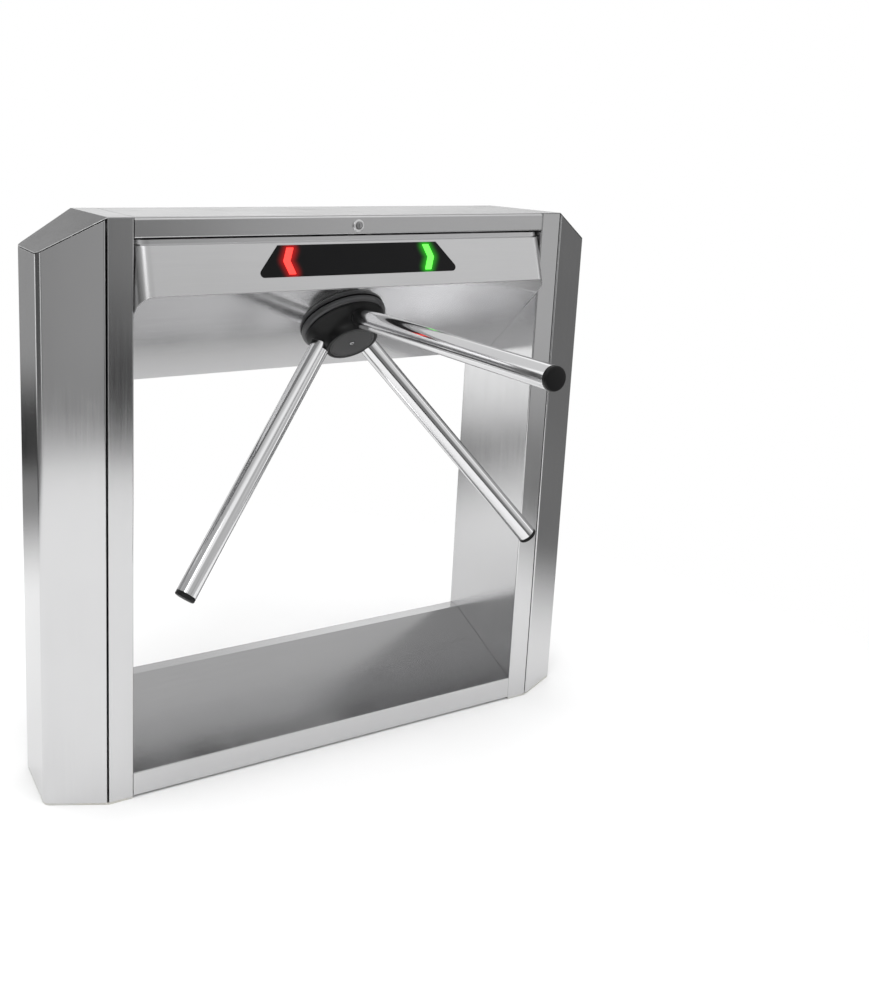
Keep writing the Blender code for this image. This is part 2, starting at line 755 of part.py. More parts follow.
def make_fascia(root):
    foot = [[fascia_foot(p) for p in line] for line in fascia_level(-BEAK_REACH, BEAK_HEIGHT)]
    levels = [foot, fascia_level(-FASCIA_TOP_REACH, FASCIA_TOP_HEIGHT),
              fascia_level(LEDGE_TOP_SETBACK, LEDGE_TOP_HEIGHT)]
    fascia = lofted_sheet("fascia", levels, brushed_steel(), root)
    end = HALF_SPAN - FASCIA_CORNER
    notch_low = -LOCK_CAM_WIDTH
    notch_high = LOCK_CAM_LENGTH
    notch_front = LOCK_BARREL_LENGTH - LOCK_CAM_THICKNESS
    flange = [Vector(p) for p in (
        (-end, LEDGE_TOP_SETBACK + SHEET / 2), (end, LEDGE_TOP_SETBACK + SHEET / 2), (end, FASCIA_TOP_FLANGE),
        (notch_high, FASCIA_TOP_FLANGE), (notch_high, notch_front), (notch_low, notch_front),
        (notch_low, FASCIA_TOP_FLANGE), (-end, FASCIA_TOP_FLANGE))]
    lip = cutter("fascia_top_flange", prism(flange, LEDGE_TOP_HEIGHT - SHEET, LEDGE_TOP_HEIGHT), root)
    boolean(fascia, lip, "UNION")
    opening = prism(display_outline(DISPLAY_FIT), -GLASS_THICKNESS, GLASS_THICKNESS)
    window = cutter("display_window", opening, root, fascia_frame())
    boolean(fascia, window, "DIFFERENCE")


def make_display(root):
    face = fascia_frame()
    holes = [arrow_outline(side) for side in (-1, 1)]
    add_prism("display_glass", display_outline(), GLASS_PROUD - GLASS_THICKNESS, GLASS_PROUD, black_glass(),
              root, holes, face)
    red = material("stop_light", (0.9, 0.05, 0.04), 0.3, glow=(1.0, 0.04, 0.03))
    green = material("go_light", (0.1, 0.85, 0.08), 0.3, glow=(0.12, 1.0, 0.06))
    for side, label, surface in ((-1, "stop_arrow_lens", red), (1, "go_arrow_lens", green)):
        add_prism(label, arrow_outline(side, FIT), GLASS_PROUD - GLASS_THICKNESS, GLASS_PROUD, surface, root,
                  matrix=face)
    half = DISPLAY_TOP_WIDTH / 2
    low = DISPLAY_RISE + INDICATOR_MARGIN
    high = DISPLAY_RISE + DISPLAY_HEIGHT - INDICATOR_MARGIN
    back = GLASS_PROUD - GLASS_THICKNESS - FIT
    add_prism("indicator_board", rectangle(-half, low, half, high), back - BOARD_THICKNESS, back,
              board_green(), root, matrix=face)


def make_housing_back(root):
    top = CABINET_HEIGHT - LID_BACK_SKIRT - LID_BACK_GAP
    path = [(CABINET_DEPTH - SEAM_RETURN, top), (CABINET_DEPTH, top),
            (CABINET_DEPTH, HOUSING_FLOOR_HEIGHT + FIT)]
    sides = sheet_sides(path, [SMALL_BEND], -SHEET)
    half = HALF_SPAN - FIT
    folded_sheet("housing_back", sides, along_x, lambda p: -half, lambda p: half, brushed_steel(), root)


# Lid, hinge and lock: these are drawn from the hinge axis or the lock axis

def make_lid(root):
    pivot = empty("lid_axis", (0.0, HINGE_DEPTH, HINGE_HEIGHT), root)
    front = -HINGE_DEPTH
    back = CABINET_DEPTH - HINGE_DEPTH
    top = CABINET_HEIGHT - HINGE_HEIGHT
    path = [(front + SEAM_RETURN, top - LID_SKIRT), (front, top - LID_SKIRT), (front, top), (back, top),
            (back, top - LID_BACK_SKIRT)]
    sides = sheet_sides(path, [SMALL_BEND, LID_BEND, SMALL_BEND], -SHEET)
    half = HALF_SPAN - LID_END_GAP
    lid = folded_sheet("lid", sides, along_x, lambda p: -half, lambda p: half, brushed_steel(), pivot)
    seat = Matrix.Translation((0.0, front, LOCK_HEIGHT - HINGE_HEIGHT)) @ Matrix.Rotation(math.pi / 2, 4, "X")
    reach = SHEET + LOCK_FLANGE_THICKNESS
    hole = cutter("lock_hole", cylinder(LOCK_BARREL_RADIUS + FIT, -reach, reach, ROUND), pivot, seat)
    boolean(lid, hole, "DIFFERENCE")
    make_hinge(root, pivot)
    make_lock(root, pivot)


def knuckle(place, near, upward):
    """One bored knuckle on the X axis, counted from the left, with the tab that curls into it."""
    share = HINGE_LENGTH / HINGE_KNUCKLES
    low = -HINGE_LENGTH / 2 + place * share + HINGE_END_PLAY / 2
    far = near + SHEET
    sweep = 3 * math.pi - math.acos(-far / HINGE_KNUCKLE_RADIUS) - math.pi
    curl = []
    for step in range(TINY_ROUND):
        turn = math.pi + sweep * step / (TINY_ROUND - 1)
        curl.append(Vector((HINGE_KNUCKLE_RADIUS * math.cos(turn), HINGE_KNUCKLE_RADIUS * math.sin(turn))))
    top = HINGE_KNUCKLE_RADIUS + 2 * SHEET
    outline = [Vector((near, top)), Vector((near, 0.0)), *curl, Vector((far, top))]
    bore = circle(HINGE_PIN_RADIUS + FIT, TINY_ROUND)
    data = prism([Vector((p.x, upward * p.y)) for p in outline], low, low + share - HINGE_END_PLAY, [bore])
    bmesh.ops.transform(data, matrix=ALONG_X, verts=data.verts)
    return data


def make_leaf(name, parent, offset, upward, places):
    """A hinge leaf: a plate against the sheet and its share of the knuckles."""
    near = CABINET_DEPTH - HINGE_DEPTH + FIT
    edge = HINGE_KNUCKLE_RADIUS + SHEET
    low, high = sorted((upward * edge, upward * (edge + HINGE_LEAF_WIDTH - SHEET)))
    half = HINGE_LENGTH / 2
    leaf = add_object(name, block((-half, near, low), (half, near + SHEET, high)), zinc_plate(), parent,
                      Matrix.Translation(offset))
    tubes = cutter(f"{name}_knuckles", joined([knuckle(place, near, upward) for place in places]), parent,
                   Matrix.Translation(offset))
    boolean(leaf, tubes, "UNION")


def make_hinge(root, pivot):
    axis = (0.0, HINGE_DEPTH, HINGE_HEIGHT)
    make_leaf("back_hinge_leaf", root, axis, -1, range(0, HINGE_KNUCKLES, 2))
    make_leaf("lid_hinge_leaf", pivot, (0.0, 0.0, 0.0), 1, range(1, HINGE_KNUCKLES, 2))
    reach = HINGE_LENGTH / 2 + HINGE_PIN_END
    head = HINGE_KNUCKLE_RADIUS - FIT
    neck = HINGE_PIN_HEAD - reach
    profile = [(0.0, -reach), (head, -reach), (head, neck), (HINGE_PIN_RADIUS, neck),
               (HINGE_PIN_RADIUS, reach), (0.0, reach)]
    add_turned("hinge_pin", profile, machined_steel(), root, TINY_ROUND,
               Matrix.Translation(axis) @ Matrix.Rotation(math.pi / 2, 4, "Y"))


def make_lock(root, pivot):
    """The lock's own axis runs back into the housing, so Z in these profiles is depth."""
    axis = empty("lock_axis", (0.0, -HINGE_DEPTH, LOCK_HEIGHT - HINGE_HEIGHT), pivot, -math.pi / 2)
    face = -LOCK_FLANGE_THICKNESS - FIT
    bore = LOCK_PLUG_RADIUS + FIT
    rim = LOCK_FLANGE_RADIUS
    barrel = [(bore, face), (rim - LOCK_EDGE, face), (rim, face + LOCK_EDGE), (rim, -FIT),
              (LOCK_BARREL_RADIUS, -FIT), (LOCK_BARREL_RADIUS, LOCK_BARREL_LENGTH),
              (bore, LOCK_BARREL_LENGTH)]
    add_turned("lock_barrel", barrel, chrome(), axis)
    nut_low = SHEET + FIT
    nut_high = nut_low + LOCK_NUT_THICKNESS
    add_prism("lock_nut", circle(LOCK_NUT_RADIUS, 6), nut_low, nut_high, zinc_plate(), axis,
              [circle(LOCK_BARREL_RADIUS + FIT)])
    cam_low = LOCK_BARREL_LENGTH + FIT
    cam_high = cam_low + LOCK_CAM_THICKNESS
    tail = cam_high + LOCK_EDGE
    plug = [(0.0, face - FIT), (LOCK_PLUG_RADIUS - FIT, face - FIT), (LOCK_PLUG_RADIUS, face),
            (LOCK_PLUG_RADIUS, LOCK_BARREL_LENGTH), (LOCK_TAIL_RADIUS, LOCK_BARREL_LENGTH),
            (LOCK_TAIL_RADIUS, tail), (0.0, tail)]
    body = add_turned("lock_plug", plug, chrome(), axis)
    slot = cutter("key_slot", block((-KEY_SLOT_WIDTH / 2, -KEY_SLOT_LENGTH / 2, face - KEY_SLOT_DEPTH),
                                    (KEY_SLOT_WIDTH / 2, KEY_SLOT_LENGTH / 2, face + KEY_SLOT_DEPTH)), axis)
    boolean(body, slot, "DIFFERENCE")
    half = LOCK_CAM_WIDTH / 2
    outline = closed_outline(rectangle(-half, -half, half, LOCK_CAM_LENGTH),
                             [half * 0.8, half * 0.8, half * 0.5, half * 0.5])
    add_prism("lock_cam", outline, cam_low, cam_high, machined_steel(), axis,
              [circle(LOCK_TAIL_RADIUS + FIT, SMALL_ROUND)])
    make_keeper(root, cam_low)


def make_keeper(root, cam_low):
    """The hook over the cam: the cam turns in under its arm."""
    foot = LEDGE_TOP_HEIGHT + FIT
    under = LOCK_HEIGHT + LOCK_CAM_WIDTH / 2 + 2 * FIT
    post = LOCK_CAM_LENGTH + KEEPER_CLEARANCE
    outside = post + KEEPER_BAR
    toe = post + KEEPER_FOOT
    mouth = LOCK_CAM_WIDTH / 2 + KEEPER_MOUTH
    top = under + KEEPER_BAR
    outline = [(post, foot), (toe, foot), (toe, foot + KEEPER_BAR), (outside, foot + KEEPER_BAR),
               (outside, top), (mouth, top), (mouth, under), (post, under)]
    width = FASCIA_TOP_FLANGE - cam_low + 2 * FIT
    stand = Matrix.Translation((0.0, FASCIA_TOP_FLANGE, 0.0)) @ Matrix.Rotation(math.pi / 2, 4, "X")
    add_prism("lock_keeper", [Vector(p) for p in outline], 0.0, width, zinc_plate(), root, matrix=stand)


# Rotor: arms, hub and shaft. Z runs from APEX into the housing, and -Z out to the hub cap

def arm_direction(turn):
    """Unit vector of an arm on its cone: turn 0 is the arm that bars the way."""
    out = math.cos(AXIS_TILT)
    return Vector((out * math.sin(turn), -out * math.cos(turn), -math.sin(AXIS_TILT)))


def arm_matrix(turn):
    return arm_direction(turn).to_track_quat("Z", "X").to_matrix().to_4x4()


def make_arms(axis):
    tube_end = ARM_REACH - ARM_CAP_THICKNESS - FIT
    inner = ARM_RADIUS - ARM_WALL
    tube = [(inner, ARM_START), (ARM_RADIUS, ARM_START), (ARM_RADIUS, tube_end), (inner, tube_end)]
    face = ARM_REACH - ARM_CAP_THICKNESS
    plug = inner - FIT
    edge = ARM_CAP_EDGE
    cap = [(0.0, face - ARM_CAP_PLUG), (plug, face - ARM_CAP_PLUG), (plug, face), (ARM_RADIUS, face),
           (ARM_RADIUS, ARM_REACH - edge), (ARM_RADIUS - edge, ARM_REACH), (0.0, ARM_REACH)]
    for label, turn in (("front", 0.0), ("left", -THIRD_TURN), ("right", THIRD_TURN)):
        add_turned(f"{label}_arm", tube, polished_steel(), axis, ARM_ROUND, arm_matrix(turn))
        add_turned(f"{label}_arm_cap", cap, black_plastic(), axis, ARM_ROUND, arm_matrix(turn))


def make_hub(axis):
    low = -FLANGE_LEVEL
    edge = HUB_FLANGE_EDGE
    chamfer = HUB_FLANGE_CHAMFER
    rim = HUB_FLANGE_RADIUS
    front = low - HUB_FLANGE_THICKNESS
    flange = [(BORE, low), (rim - chamfer, low), (rim, low - chamfer), (rim, front + edge),
              (rim - edge * 0.3, front + edge * 0.3), (rim - edge, front), (BORE, front)]
    add_turned("hub_flange", flange, black_plastic(), axis, FINE_ROUND)

    base = -HUB_LEVEL
    nose = base - HUB_DEPTH
    span = HUB_BASE_RADIUS - HUB_NOSE_RADIUS
    waist = []
    for step in range(4):
        share = step / 3
        radius = HUB_NOSE_RADIUS + span * (1 - share) ** HUB_WAIST_CURVE
        waist.append((radius, base - HUB_BASE_EDGE - (HUB_DEPTH - 2 * HUB_BASE_EDGE) * share))
    seat = HUB_CAP_RADIUS + FIT
    body = [(BORE, base), (HUB_BASE_RADIUS, base), *waist, (HUB_NOSE_RADIUS - HUB_NOSE_CHAMFER, nose),
            (seat, nose), (seat, nose + HUB_CAP_THICKNESS), (BORE, nose + HUB_CAP_THICKNESS)]
    hub = add_turned("hub_body", body, black_plastic(), axis, FINE_ROUND)
    sockets = []
    bores = []
    for turn in (0.0, -THIRD_TURN, THIRD_TURN):
        along = arm_matrix(turn)
        sockets.append(cylinder(ARM_RADIUS + HUB_SOCKET_WALL, ARM_START, HUB_SOCKET_END, ARM_ROUND, along))
        far = HUB_SOCKET_END + ARM_RADIUS
        bores.append(cylinder(ARM_RADIUS + FIT, ARM_START - FIT, far, ARM_ROUND, along))
    boolean(hub, cutter("arm_sockets", joined(sockets), axis), "UNION")
    reach = HUB_SOCKET_END
    shave = [block((-reach, -reach, base), (reach, reach, base + reach)),
             cylinder(seat, nose - reach, nose + HUB_CAP_THICKNESS, FINE_ROUND)]
    boolean(hub, cutter("hub_faces", joined(shave), axis), "DIFFERENCE")
    boolean(hub, cutter("arm_bores", joined(bores), axis), "DIFFERENCE")
    make_hub_cap(axis, nose)


def make_hub_cap(axis, nose):
    under = nose + HUB_CAP_THICKNESS - FIT
    rim = HUB_CAP_RADIUS
    groove = rim - HUB_CAP_RIM
    bore = HUB_SCREW_RADIUS + FIT
    width = HUB_CAP_GROOVE
    cap = [(bore, under), (rim, under), (rim, nose + HUB_CAP_EDGE), (rim - HUB_CAP_EDGE, nose),
           (groove, nose), (groove - width / 2, nose + width), (groove - width, nose), (bore, nose)]
    add_turned("hub_cap", cap, black_plastic(), axis, FINE_ROUND)
    screw = HUB_SCREW_RADIUS
    head = nose - HUB_SCREW_PROUD
    edge = HUB_SCREW_EDGE
    foot = -SHAFT_FRONT - FIT
    profile = [(0.0, head), (screw - edge, head), (screw, head + edge), (screw, foot), (0.0, foot)]
    add_turned("hub_screw", profile, machined_steel(), axis, SMALL_ROUND)


def make_shaft(axis):
    end = ENCODER_TOP + SHAFT_NUT_WIDTH + SHAFT_TAIL
    front = -SHAFT_FRONT
    chamfer = SHAFT_CHAMFER
    profile = [(0.0, front), (SHAFT_RADIUS - chamfer, front), (SHAFT_RADIUS, front + chamfer),
               (SHAFT_RADIUS, end - chamfer), (SHAFT_RADIUS - chamfer, end), (0.0, end)]
    add_turned("main_shaft", profile, machined_steel(), axis)
    low = ENCODER_TOP + FIT
    add_prism("shaft_nut", circle(SHAFT_NUT_RADIUS, 6), low, low + SHAFT_NUT_WIDTH, zinc_plate(), axis,
              [circle(BORE)])


# Discs on the shaft

def involute(angle):
    return math.tan(angle) - angle


def gear_outline(teeth, phase):
    """An involute spur gear, thinned for backlash, with a tooth centred on phase."""
    pitch = GEAR_MODULE * teeth / 2
    base = pitch * math.cos(PRESSURE_ANGLE)
    root = pitch - TOOTH_ROOT * GEAR_MODULE
    tip = pitch + TOOTH_TIP * GEAR_MODULE
    half_base = math.pi / (2 * teeth) + involute(PRESSURE_ANGLE) - GEAR_BACKLASH / pitch / 2
    flank = [(root, half_base)]
    for radius in (pitch, tip):
        flank.append((radius, half_base - involute(math.acos(base / radius))))
    outline = []
    for tooth in range(teeth):
        middle = phase + 2 * math.pi * tooth / teeth
        steps = [(radius, -half) for radius, half in flank] + flank[::-1]
        for radius, angle in steps:
            outline.append(Vector((radius * math.cos(middle + angle), radius * math.sin(middle + angle))))
    return outline


def cam_outline():
    """Three valleys, one for each arm at rest, and three lobes between them."""
    mean = (CAM_LOBE_RADIUS + CAM_VALLEY_RADIUS) / 2
    lift = (CAM_LOBE_RADIUS - CAM_VALLEY_RADIUS) / 2
    steps = 2 * ROUND
    outline = []
    for step in range(steps):
        turn = 2 * math.pi * step / steps
        radius = mean - lift * math.cos(3 * (turn + math.pi / 2))
        outline.append(Vector((radius * math.cos(turn), radius * math.sin(turn))))
    return outline


def lock_disc_outline():
    """A disc with square notches for the two pawls."""
    outline = []
    half_mouth = math.asin(NOTCH_WIDTH / 2 / LOCK_DISC_RADIUS)
    floor = LOCK_DISC_RADIUS - NOTCH_DEPTH
    half_floor = math.asin(NOTCH_WIDTH / 2 / floor)
    gap = 2 * math.pi / NOTCHES
    for notch in range(NOTCHES):
        middle = notch * gap
        for radius, angle in ((floor, -half_floor), (floor, half_floor)):
            outline.append(Vector((radius * math.cos(middle + angle), radius * math.sin(middle + angle))))
        for step in range(CORNER_STEPS):
            angle = middle + half_mouth + (gap - 2 * half_mouth) * step / (CORNER_STEPS - 1)
            outline.append(Vector((LOCK_DISC_RADIUS * math.cos(angle), LOCK_DISC_RADIUS * math.sin(angle))))
    return outline


def encoder_outline():
    outline = []
    gap = 2 * math.pi / ENCODER_SLOTS
    floor = ENCODER_RADIUS - ENCODER_SLOT
    for slot in range(ENCODER_SLOTS):
        for radius, share in ((ENCODER_RADIUS, 0.0), (ENCODER_RADIUS, 0.5), (floor, 0.5), (floor, 1.0)):
            angle = (slot + share) * gap
            outline.append(Vector((radius * math.cos(angle), radius * math.sin(angle))))
    return outline


def add_disc(name, outline, low, width, next_low, surface, axis):
    """A disc keyed to the shaft, with a boss behind it that reaches the next disc."""
    disc = add_prism(name, outline, low, low + width, surface, axis, [circle(BORE)])
    middle = low + width / 2
    top = next_low - FIT
    profile = [(BORE, middle), (DISC_BOSS_RADIUS, middle), (DISC_BOSS_RADIUS, top), (BORE, top)]
    boolean(disc, cutter(f"{name}_boss", turned(profile), axis), "UNION")


def make_discs(axis):
    steel = machined_steel()
    toward_pinion = gear_outline(GEAR_TEETH, math.pi / 2)
    add_disc("damper_gear", toward_pinion, GEAR_LEVEL, GEAR_WIDTH, CAM_LEVEL, steel, axis)
    add_disc("index_cam", cam_outline(), CAM_LEVEL, CAM_WIDTH, LOCK_DISC_LEVEL, steel, axis)
    add_disc("lock_disc", lock_disc_outline(), LOCK_DISC_LEVEL, LOCK_DISC_WIDTH, ENCODER_LEVEL, steel, axis)
    add_prism("encoder_disc", encoder_outline(), ENCODER_LEVEL, ENCODER_TOP, black_plastic(), axis,
              [circle(BORE)])


# Fixed mechanism

def make_bearings(frame):
    inside = -(HUB_PLATE_LEVEL - SHEET) + FIT
    flange_top = inside + HOUSING_FLANGE_THICKNESS
    top = PLATE_LEVEL - FIT
    seat = BEARING_RADIUS + FIT
    shoulder = BEARING_RADIUS - BEARING_SHOULDER
    front_low = inside + BEARING_FRONT_INSET
    front_high = front_low + BEARING_WIDTH
    rear_high = top - BEARING_REAR_INSET
    rear_low = rear_high - BEARING_WIDTH
    tube = HOUSING_TUBE_RADIUS
    profile = [(seat, inside), (HOUSING_FLANGE_RADIUS, inside), (HOUSING_FLANGE_RADIUS, flange_top),
               (tube + HOUSING_FILLET, flange_top), (tube, flange_top + HOUSING_FILLET), (tube, top),
               (seat, top), (seat, rear_low - FIT), (shoulder, rear_low - FIT),
               (shoulder, front_high + FIT), (seat, front_high + FIT)]
    add_turned("bearing_housing", profile, zinc_plate(), frame)
    race = (BORE + BEARING_RADIUS - BEARING_SHIELD_WIDTH) / 2
    rim = race + BEARING_SHIELD_WIDTH
    for label, low in (("front", front_low), ("rear", rear_low)):
        high = low + BEARING_WIDTH
        near = low + BEARING_SHIELD_DEPTH
        far = high - BEARING_SHIELD_DEPTH
        ring = [(BORE, low), (race, low), (race, near), (rim, near), (rim, low), (BEARING_RADIUS, low),
                (BEARING_RADIUS, high), (rim, high), (rim, far), (race, far), (race, high), (BORE, high)]
        add_turned(f"{label}_bearing", ring, machined_steel(), frame)


def make_mechanism_plate(frame):
    """The plate that carries lever, pawls, solenoids, damper and encoder, with its studs."""
    outline = closed_outline(rectangle(-PLATE_HALF_LENGTH, -PLATE_FRONT, PLATE_HALF_LENGTH, PLATE_BACK),
                             [PLATE_CORNER] * 4)
    holes = [circle(SHAFT_RADIUS + PLATE_SHAFT_GAP),
             circle(DAMPER_SHAFT_RADIUS + PLATE_STEM_GAP, SMALL_ROUND, (0.0, GEAR_CENTRES))]
    plate = add_prism("mechanism_plate", outline, PLATE_LEVEL, PLATE_TOP, zinc_plate(), frame, holes)
    lever_x, lever_y = lever_pivot()
    studs = [stud(lever_x, lever_y, LEVER_LEVEL + LEVER_THICKNESS)]
    for side in (-1, 1):
        studs.append(stud(side * PAWL_PIVOT_X, -PAWL_PIVOT_FRONT, pawl_level() + PAWL_THICKNESS))
        studs.append(stud(side * ENCODER_POST_X, ENCODER_POST_Y, ENCODER_BOARD_LEVEL - FIT))
    boolean(plate, cutter("plate_studs", joined(studs), frame), "UNION")


def stud(x, y, top):
    root = PLATE_TOP - PLATE_THICKNESS / 2
    return cylinder(STUD_RADIUS, root, top, TINY_ROUND, Matrix.Translation((x, y, 0.0)))


def make_damper(frame):
    """A rotary damper under the plate, its pinion in the damper gear."""
    place = (0.0, GEAR_CENTRES, 0.0)
    top = PLATE_LEVEL - FIT
    low = top - DAMPER_LENGTH
    bore = DAMPER_SHAFT_RADIUS + FIT
    floor = low + DAMPER_FLOOR
    body = [(0.0, low), (DAMPER_RADIUS, low), (DAMPER_RADIUS, top), (bore, top), (bore, floor), (0.0, floor)]
    add_turned("damper_body", body, black_plastic(), frame, matrix=Matrix.Translation(place))
    axis = empty("damper_axis", place, frame)
    half_tooth = math.pi / PINION_TEETH
    outline = gear_outline(PINION_TEETH, -math.pi / 2 + half_tooth)
    pinion = add_prism("damper_pinion", outline, GEAR_LEVEL, GEAR_LEVEL + GEAR_WIDTH, machined_steel(), axis)
    stem = cylinder(DAMPER_SHAFT_RADIUS, floor + FIT, GEAR_LEVEL + GEAR_WIDTH / 2, SMALL_ROUND)
    boolean(pinion, cutter("damper_stem", stem, axis), "UNION")


def lever_pivot():
    """The centring lever's pivot: the roller hangs one lever arm away, clear of the lobes."""
    return -LEVER_ARM, -(CAM_LOBE_RADIUS + ROLLER_RADIUS + ROLLER_LIFT)


def make_lever(frame):
    x, y = lever_pivot()
    axis = empty("lever_axis", (x, y, 0.0), frame)
    half = LEVER_WIDTH / 2
    outline = closed_outline(rectangle(-half, -half, LEVER_ARM + half, half), [half * 0.95] * 4, 4)
    low = LEVER_LEVEL
    lever = add_prism("centring_lever", outline, low, low + LEVER_THICKNESS, zinc_plate(), axis,
                      [circle(STUD_RADIUS + STUD_FIT, TINY_ROUND)])
    pin = cylinder(ROLLER_PIN_RADIUS, CAM_LEVEL, low + LEVER_THICKNESS / 2, TINY_ROUND,
                   Matrix.Translation((LEVER_ARM, 0.0, 0.0)))
    boolean(lever, cutter("roller_pin", pin, axis), "UNION")
    bore = ROLLER_PIN_RADIUS + FIT
    high = low - FIT
    roller = [(bore, CAM_LEVEL), (ROLLER_RADIUS, CAM_LEVEL), (ROLLER_RADIUS, high), (bore, high)]
    add_turned("lever_roller", roller, machined_steel(), axis, SMALL_ROUND,
               Matrix.Translation((LEVER_ARM, 0.0, 0.0)))
    make_lever_spring(axis)


def least_gap(points, per_turn, wire):
    """The least clear distance between one turn of a coil and the others, point against point."""
    least = math.inf
    for place, point in enumerate(points):
        for other in points[place + per_turn // 2:]:
            least = min(least, math.dist(point, other) - 2 * wire)
    return least


def make_lever_spring(axis):
    """A torsion spring round the lever's stud, with one leg out along the lever."""
    start = LEVER_LEVEL - FIT - SPRING_WIRE - SPRING_TURNS * SPRING_PITCH
    points = []
    for step in range(SPRING_TURNS * SPRING_STEPS + 1):
        turn = 2 * math.pi * step / SPRING_STEPS
        points.append((SPRING_RADIUS * math.cos(turn), SPRING_RADIUS * math.sin(turn),
                       start + SPRING_PITCH * step / SPRING_STEPS))
    gap = least_gap(points, SPRING_STEPS, SPRING_WIRE)
    print(f"lever_spring: least gap between turns {1000 * gap:.2f} mm")
    points.append((SPRING_RADIUS, SPRING_LEG, points[-1][2]))
    curve = bpy.data.curves.new("lever_spring", "CURVE")
    curve.dimensions = "3D"
    curve.bevel_depth = SPRING_WIRE
    curve.bevel_resolution = 1
    curve.use_fill_caps = True
    spline = curve.splines.new("POLY")
    spline.points.add(len(points) - 1)
    for slot, point in zip(spline.points, points):
        slot.co = (*point, 1.0)
    curve.materials.append(machined_steel())
    obj = bpy.data.objects.new("lever_spring", curve)
    obj.parent = axis
    bpy.context.collection.objects.link(obj)


def pawl_level():
    return LOCK_DISC_LEVEL + (LOCK_DISC_WIDTH - PAWL_THICKNESS) / 2


def make_pawl(side, label, frame):
    """A pawl beside the lock disc, and the solenoid plunger that pushes it in."""
    axis = empty(f"{label}_pawl_axis", (side * PAWL_PIVOT_X, -PAWL_PIVOT_FRONT, 0.0), frame)
    half = PAWL_WIDTH / 2
    nose_tip = PAWL_PIVOT_X - LOCK_DISC_RADIUS - PAWL_NOSE_GAP
    low = PAWL_NOSE_DROP - PAWL_NOSE_WIDTH / 2
    high = PAWL_NOSE_DROP + PAWL_NOSE_WIDTH / 2
    points = [(half, -PAWL_EYE), (half, PAWL_LENGTH), (-half, PAWL_LENGTH), (-half, high),
              (-nose_tip, high - PAWL_NOSE_TAPER), (-nose_tip, low + PAWL_NOSE_TAPER), (-half, low),
              (-half, -PAWL_EYE)]
    radii = [half * 0.9, half * 0.4, half * 0.4, 0.0, 0.0, 0.0, 0.0, half * 0.9]
    outline = [Vector((side * p.x, p.y)) for p in closed_outline(points, radii)]
    add_prism(f"{label}_pawl", outline, pawl_level(), pawl_level() + PAWL_THICKNESS, machined_steel(), axis,
              [circle(STUD_RADIUS + STUD_FIT, TINY_ROUND)])
    make_solenoid(side, label, frame)


def make_solenoid(side, label, frame):
    middle = LOCK_DISC_LEVEL + LOCK_DISC_WIDTH / 2
    drop = PLUNGER_DROP - PAWL_PIVOT_FRONT
    face = PAWL_PIVOT_X + PAWL_WIDTH / 2 + PLUNGER_GAP
    outward = Matrix.Rotation(side * math.pi / 2, 4, "Y")
    axis = empty(f"{label}_plunger_axis", (side * face, drop, middle), frame)
    tip = [(0.0, 0.0), (PLUNGER_TIP * 0.55, PLUNGER_TIP * 0.18), (PLUNGER_TIP * 0.9, PLUNGER_TIP * 0.6),
           (PLUNGER_RADIUS, PLUNGER_TIP), (PLUNGER_RADIUS, PLUNGER_LENGTH), (0.0, PLUNGER_LENGTH)]
    add_turned(f"{label}_plunger", tip, machined_steel(), axis, SMALL_ROUND, outward)
    near = PAWL_PIVOT_X + SOLENOID_STANDOFF
    half = SOLENOID_WIDTH / 2
    low_x, high_x = sorted((side * near, side * (near + SOLENOID_LENGTH)))
    case = add_object(f"{label}_solenoid", block((low_x, drop - half, PLATE_TOP + FIT),
                                                 (high_x, drop + half, middle + half)), zinc_plate(), frame)
    beyond = SOLENOID_LENGTH + SOLENOID_STANDOFF
    bore = cylinder(PLUNGER_RADIUS + FIT, -SOLENOID_STANDOFF, beyond, SMALL_ROUND,
                    Matrix.Translation((side * near, drop, middle)) @ outward)
    boolean(case, cutter(f"{label}_solenoid_bore", bore, frame), "DIFFERENCE")


def make_encoder_board(frame):
    low = ENCODER_BOARD_LEVEL
    front = ENCODER_RADIUS - ENCODER_SLOT - ENCODER_OVERLAP
    half = ENCODER_BOARD_WIDTH / 2
    board = add_prism("encoder_board", rectangle(-half, front, half, PLATE_BACK), low, low + BOARD_THICKNESS,
                      board_green(), frame)
    half = ENCODER_EYE_WIDTH / 2
    eye = block((-half, front + ENCODER_EYE_STEP, low + BOARD_THICKNESS / 2),
                (half, ENCODER_RADIUS + ENCODER_EYE_BACK, ENCODER_LEVEL - FIT))
    boolean(board, cutter("encoder_eye", eye, frame), "UNION")


def make_electronics(root):
    make_power_supply(root)
    make_control_board(root)


def make_power_supply(root):
    """A sealed supply on the housing's floor, against the floor sheet's back flange."""
    low = HOUSING_FLOOR_HEIGHT + SHEET + FIT
    back = CABINET_DEPTH - 2 * SHEET - 2 * FIT - POWER_SUPPLY_GAP
    half = POWER_SUPPLY_LENGTH / 2
    box = block((POWER_SUPPLY_PLACE - half, back - POWER_SUPPLY_DEPTH, low),
                (POWER_SUPPLY_PLACE + half, back, low + POWER_SUPPLY_HEIGHT))
    add_object("power_supply", box, zinc_plate(), root)


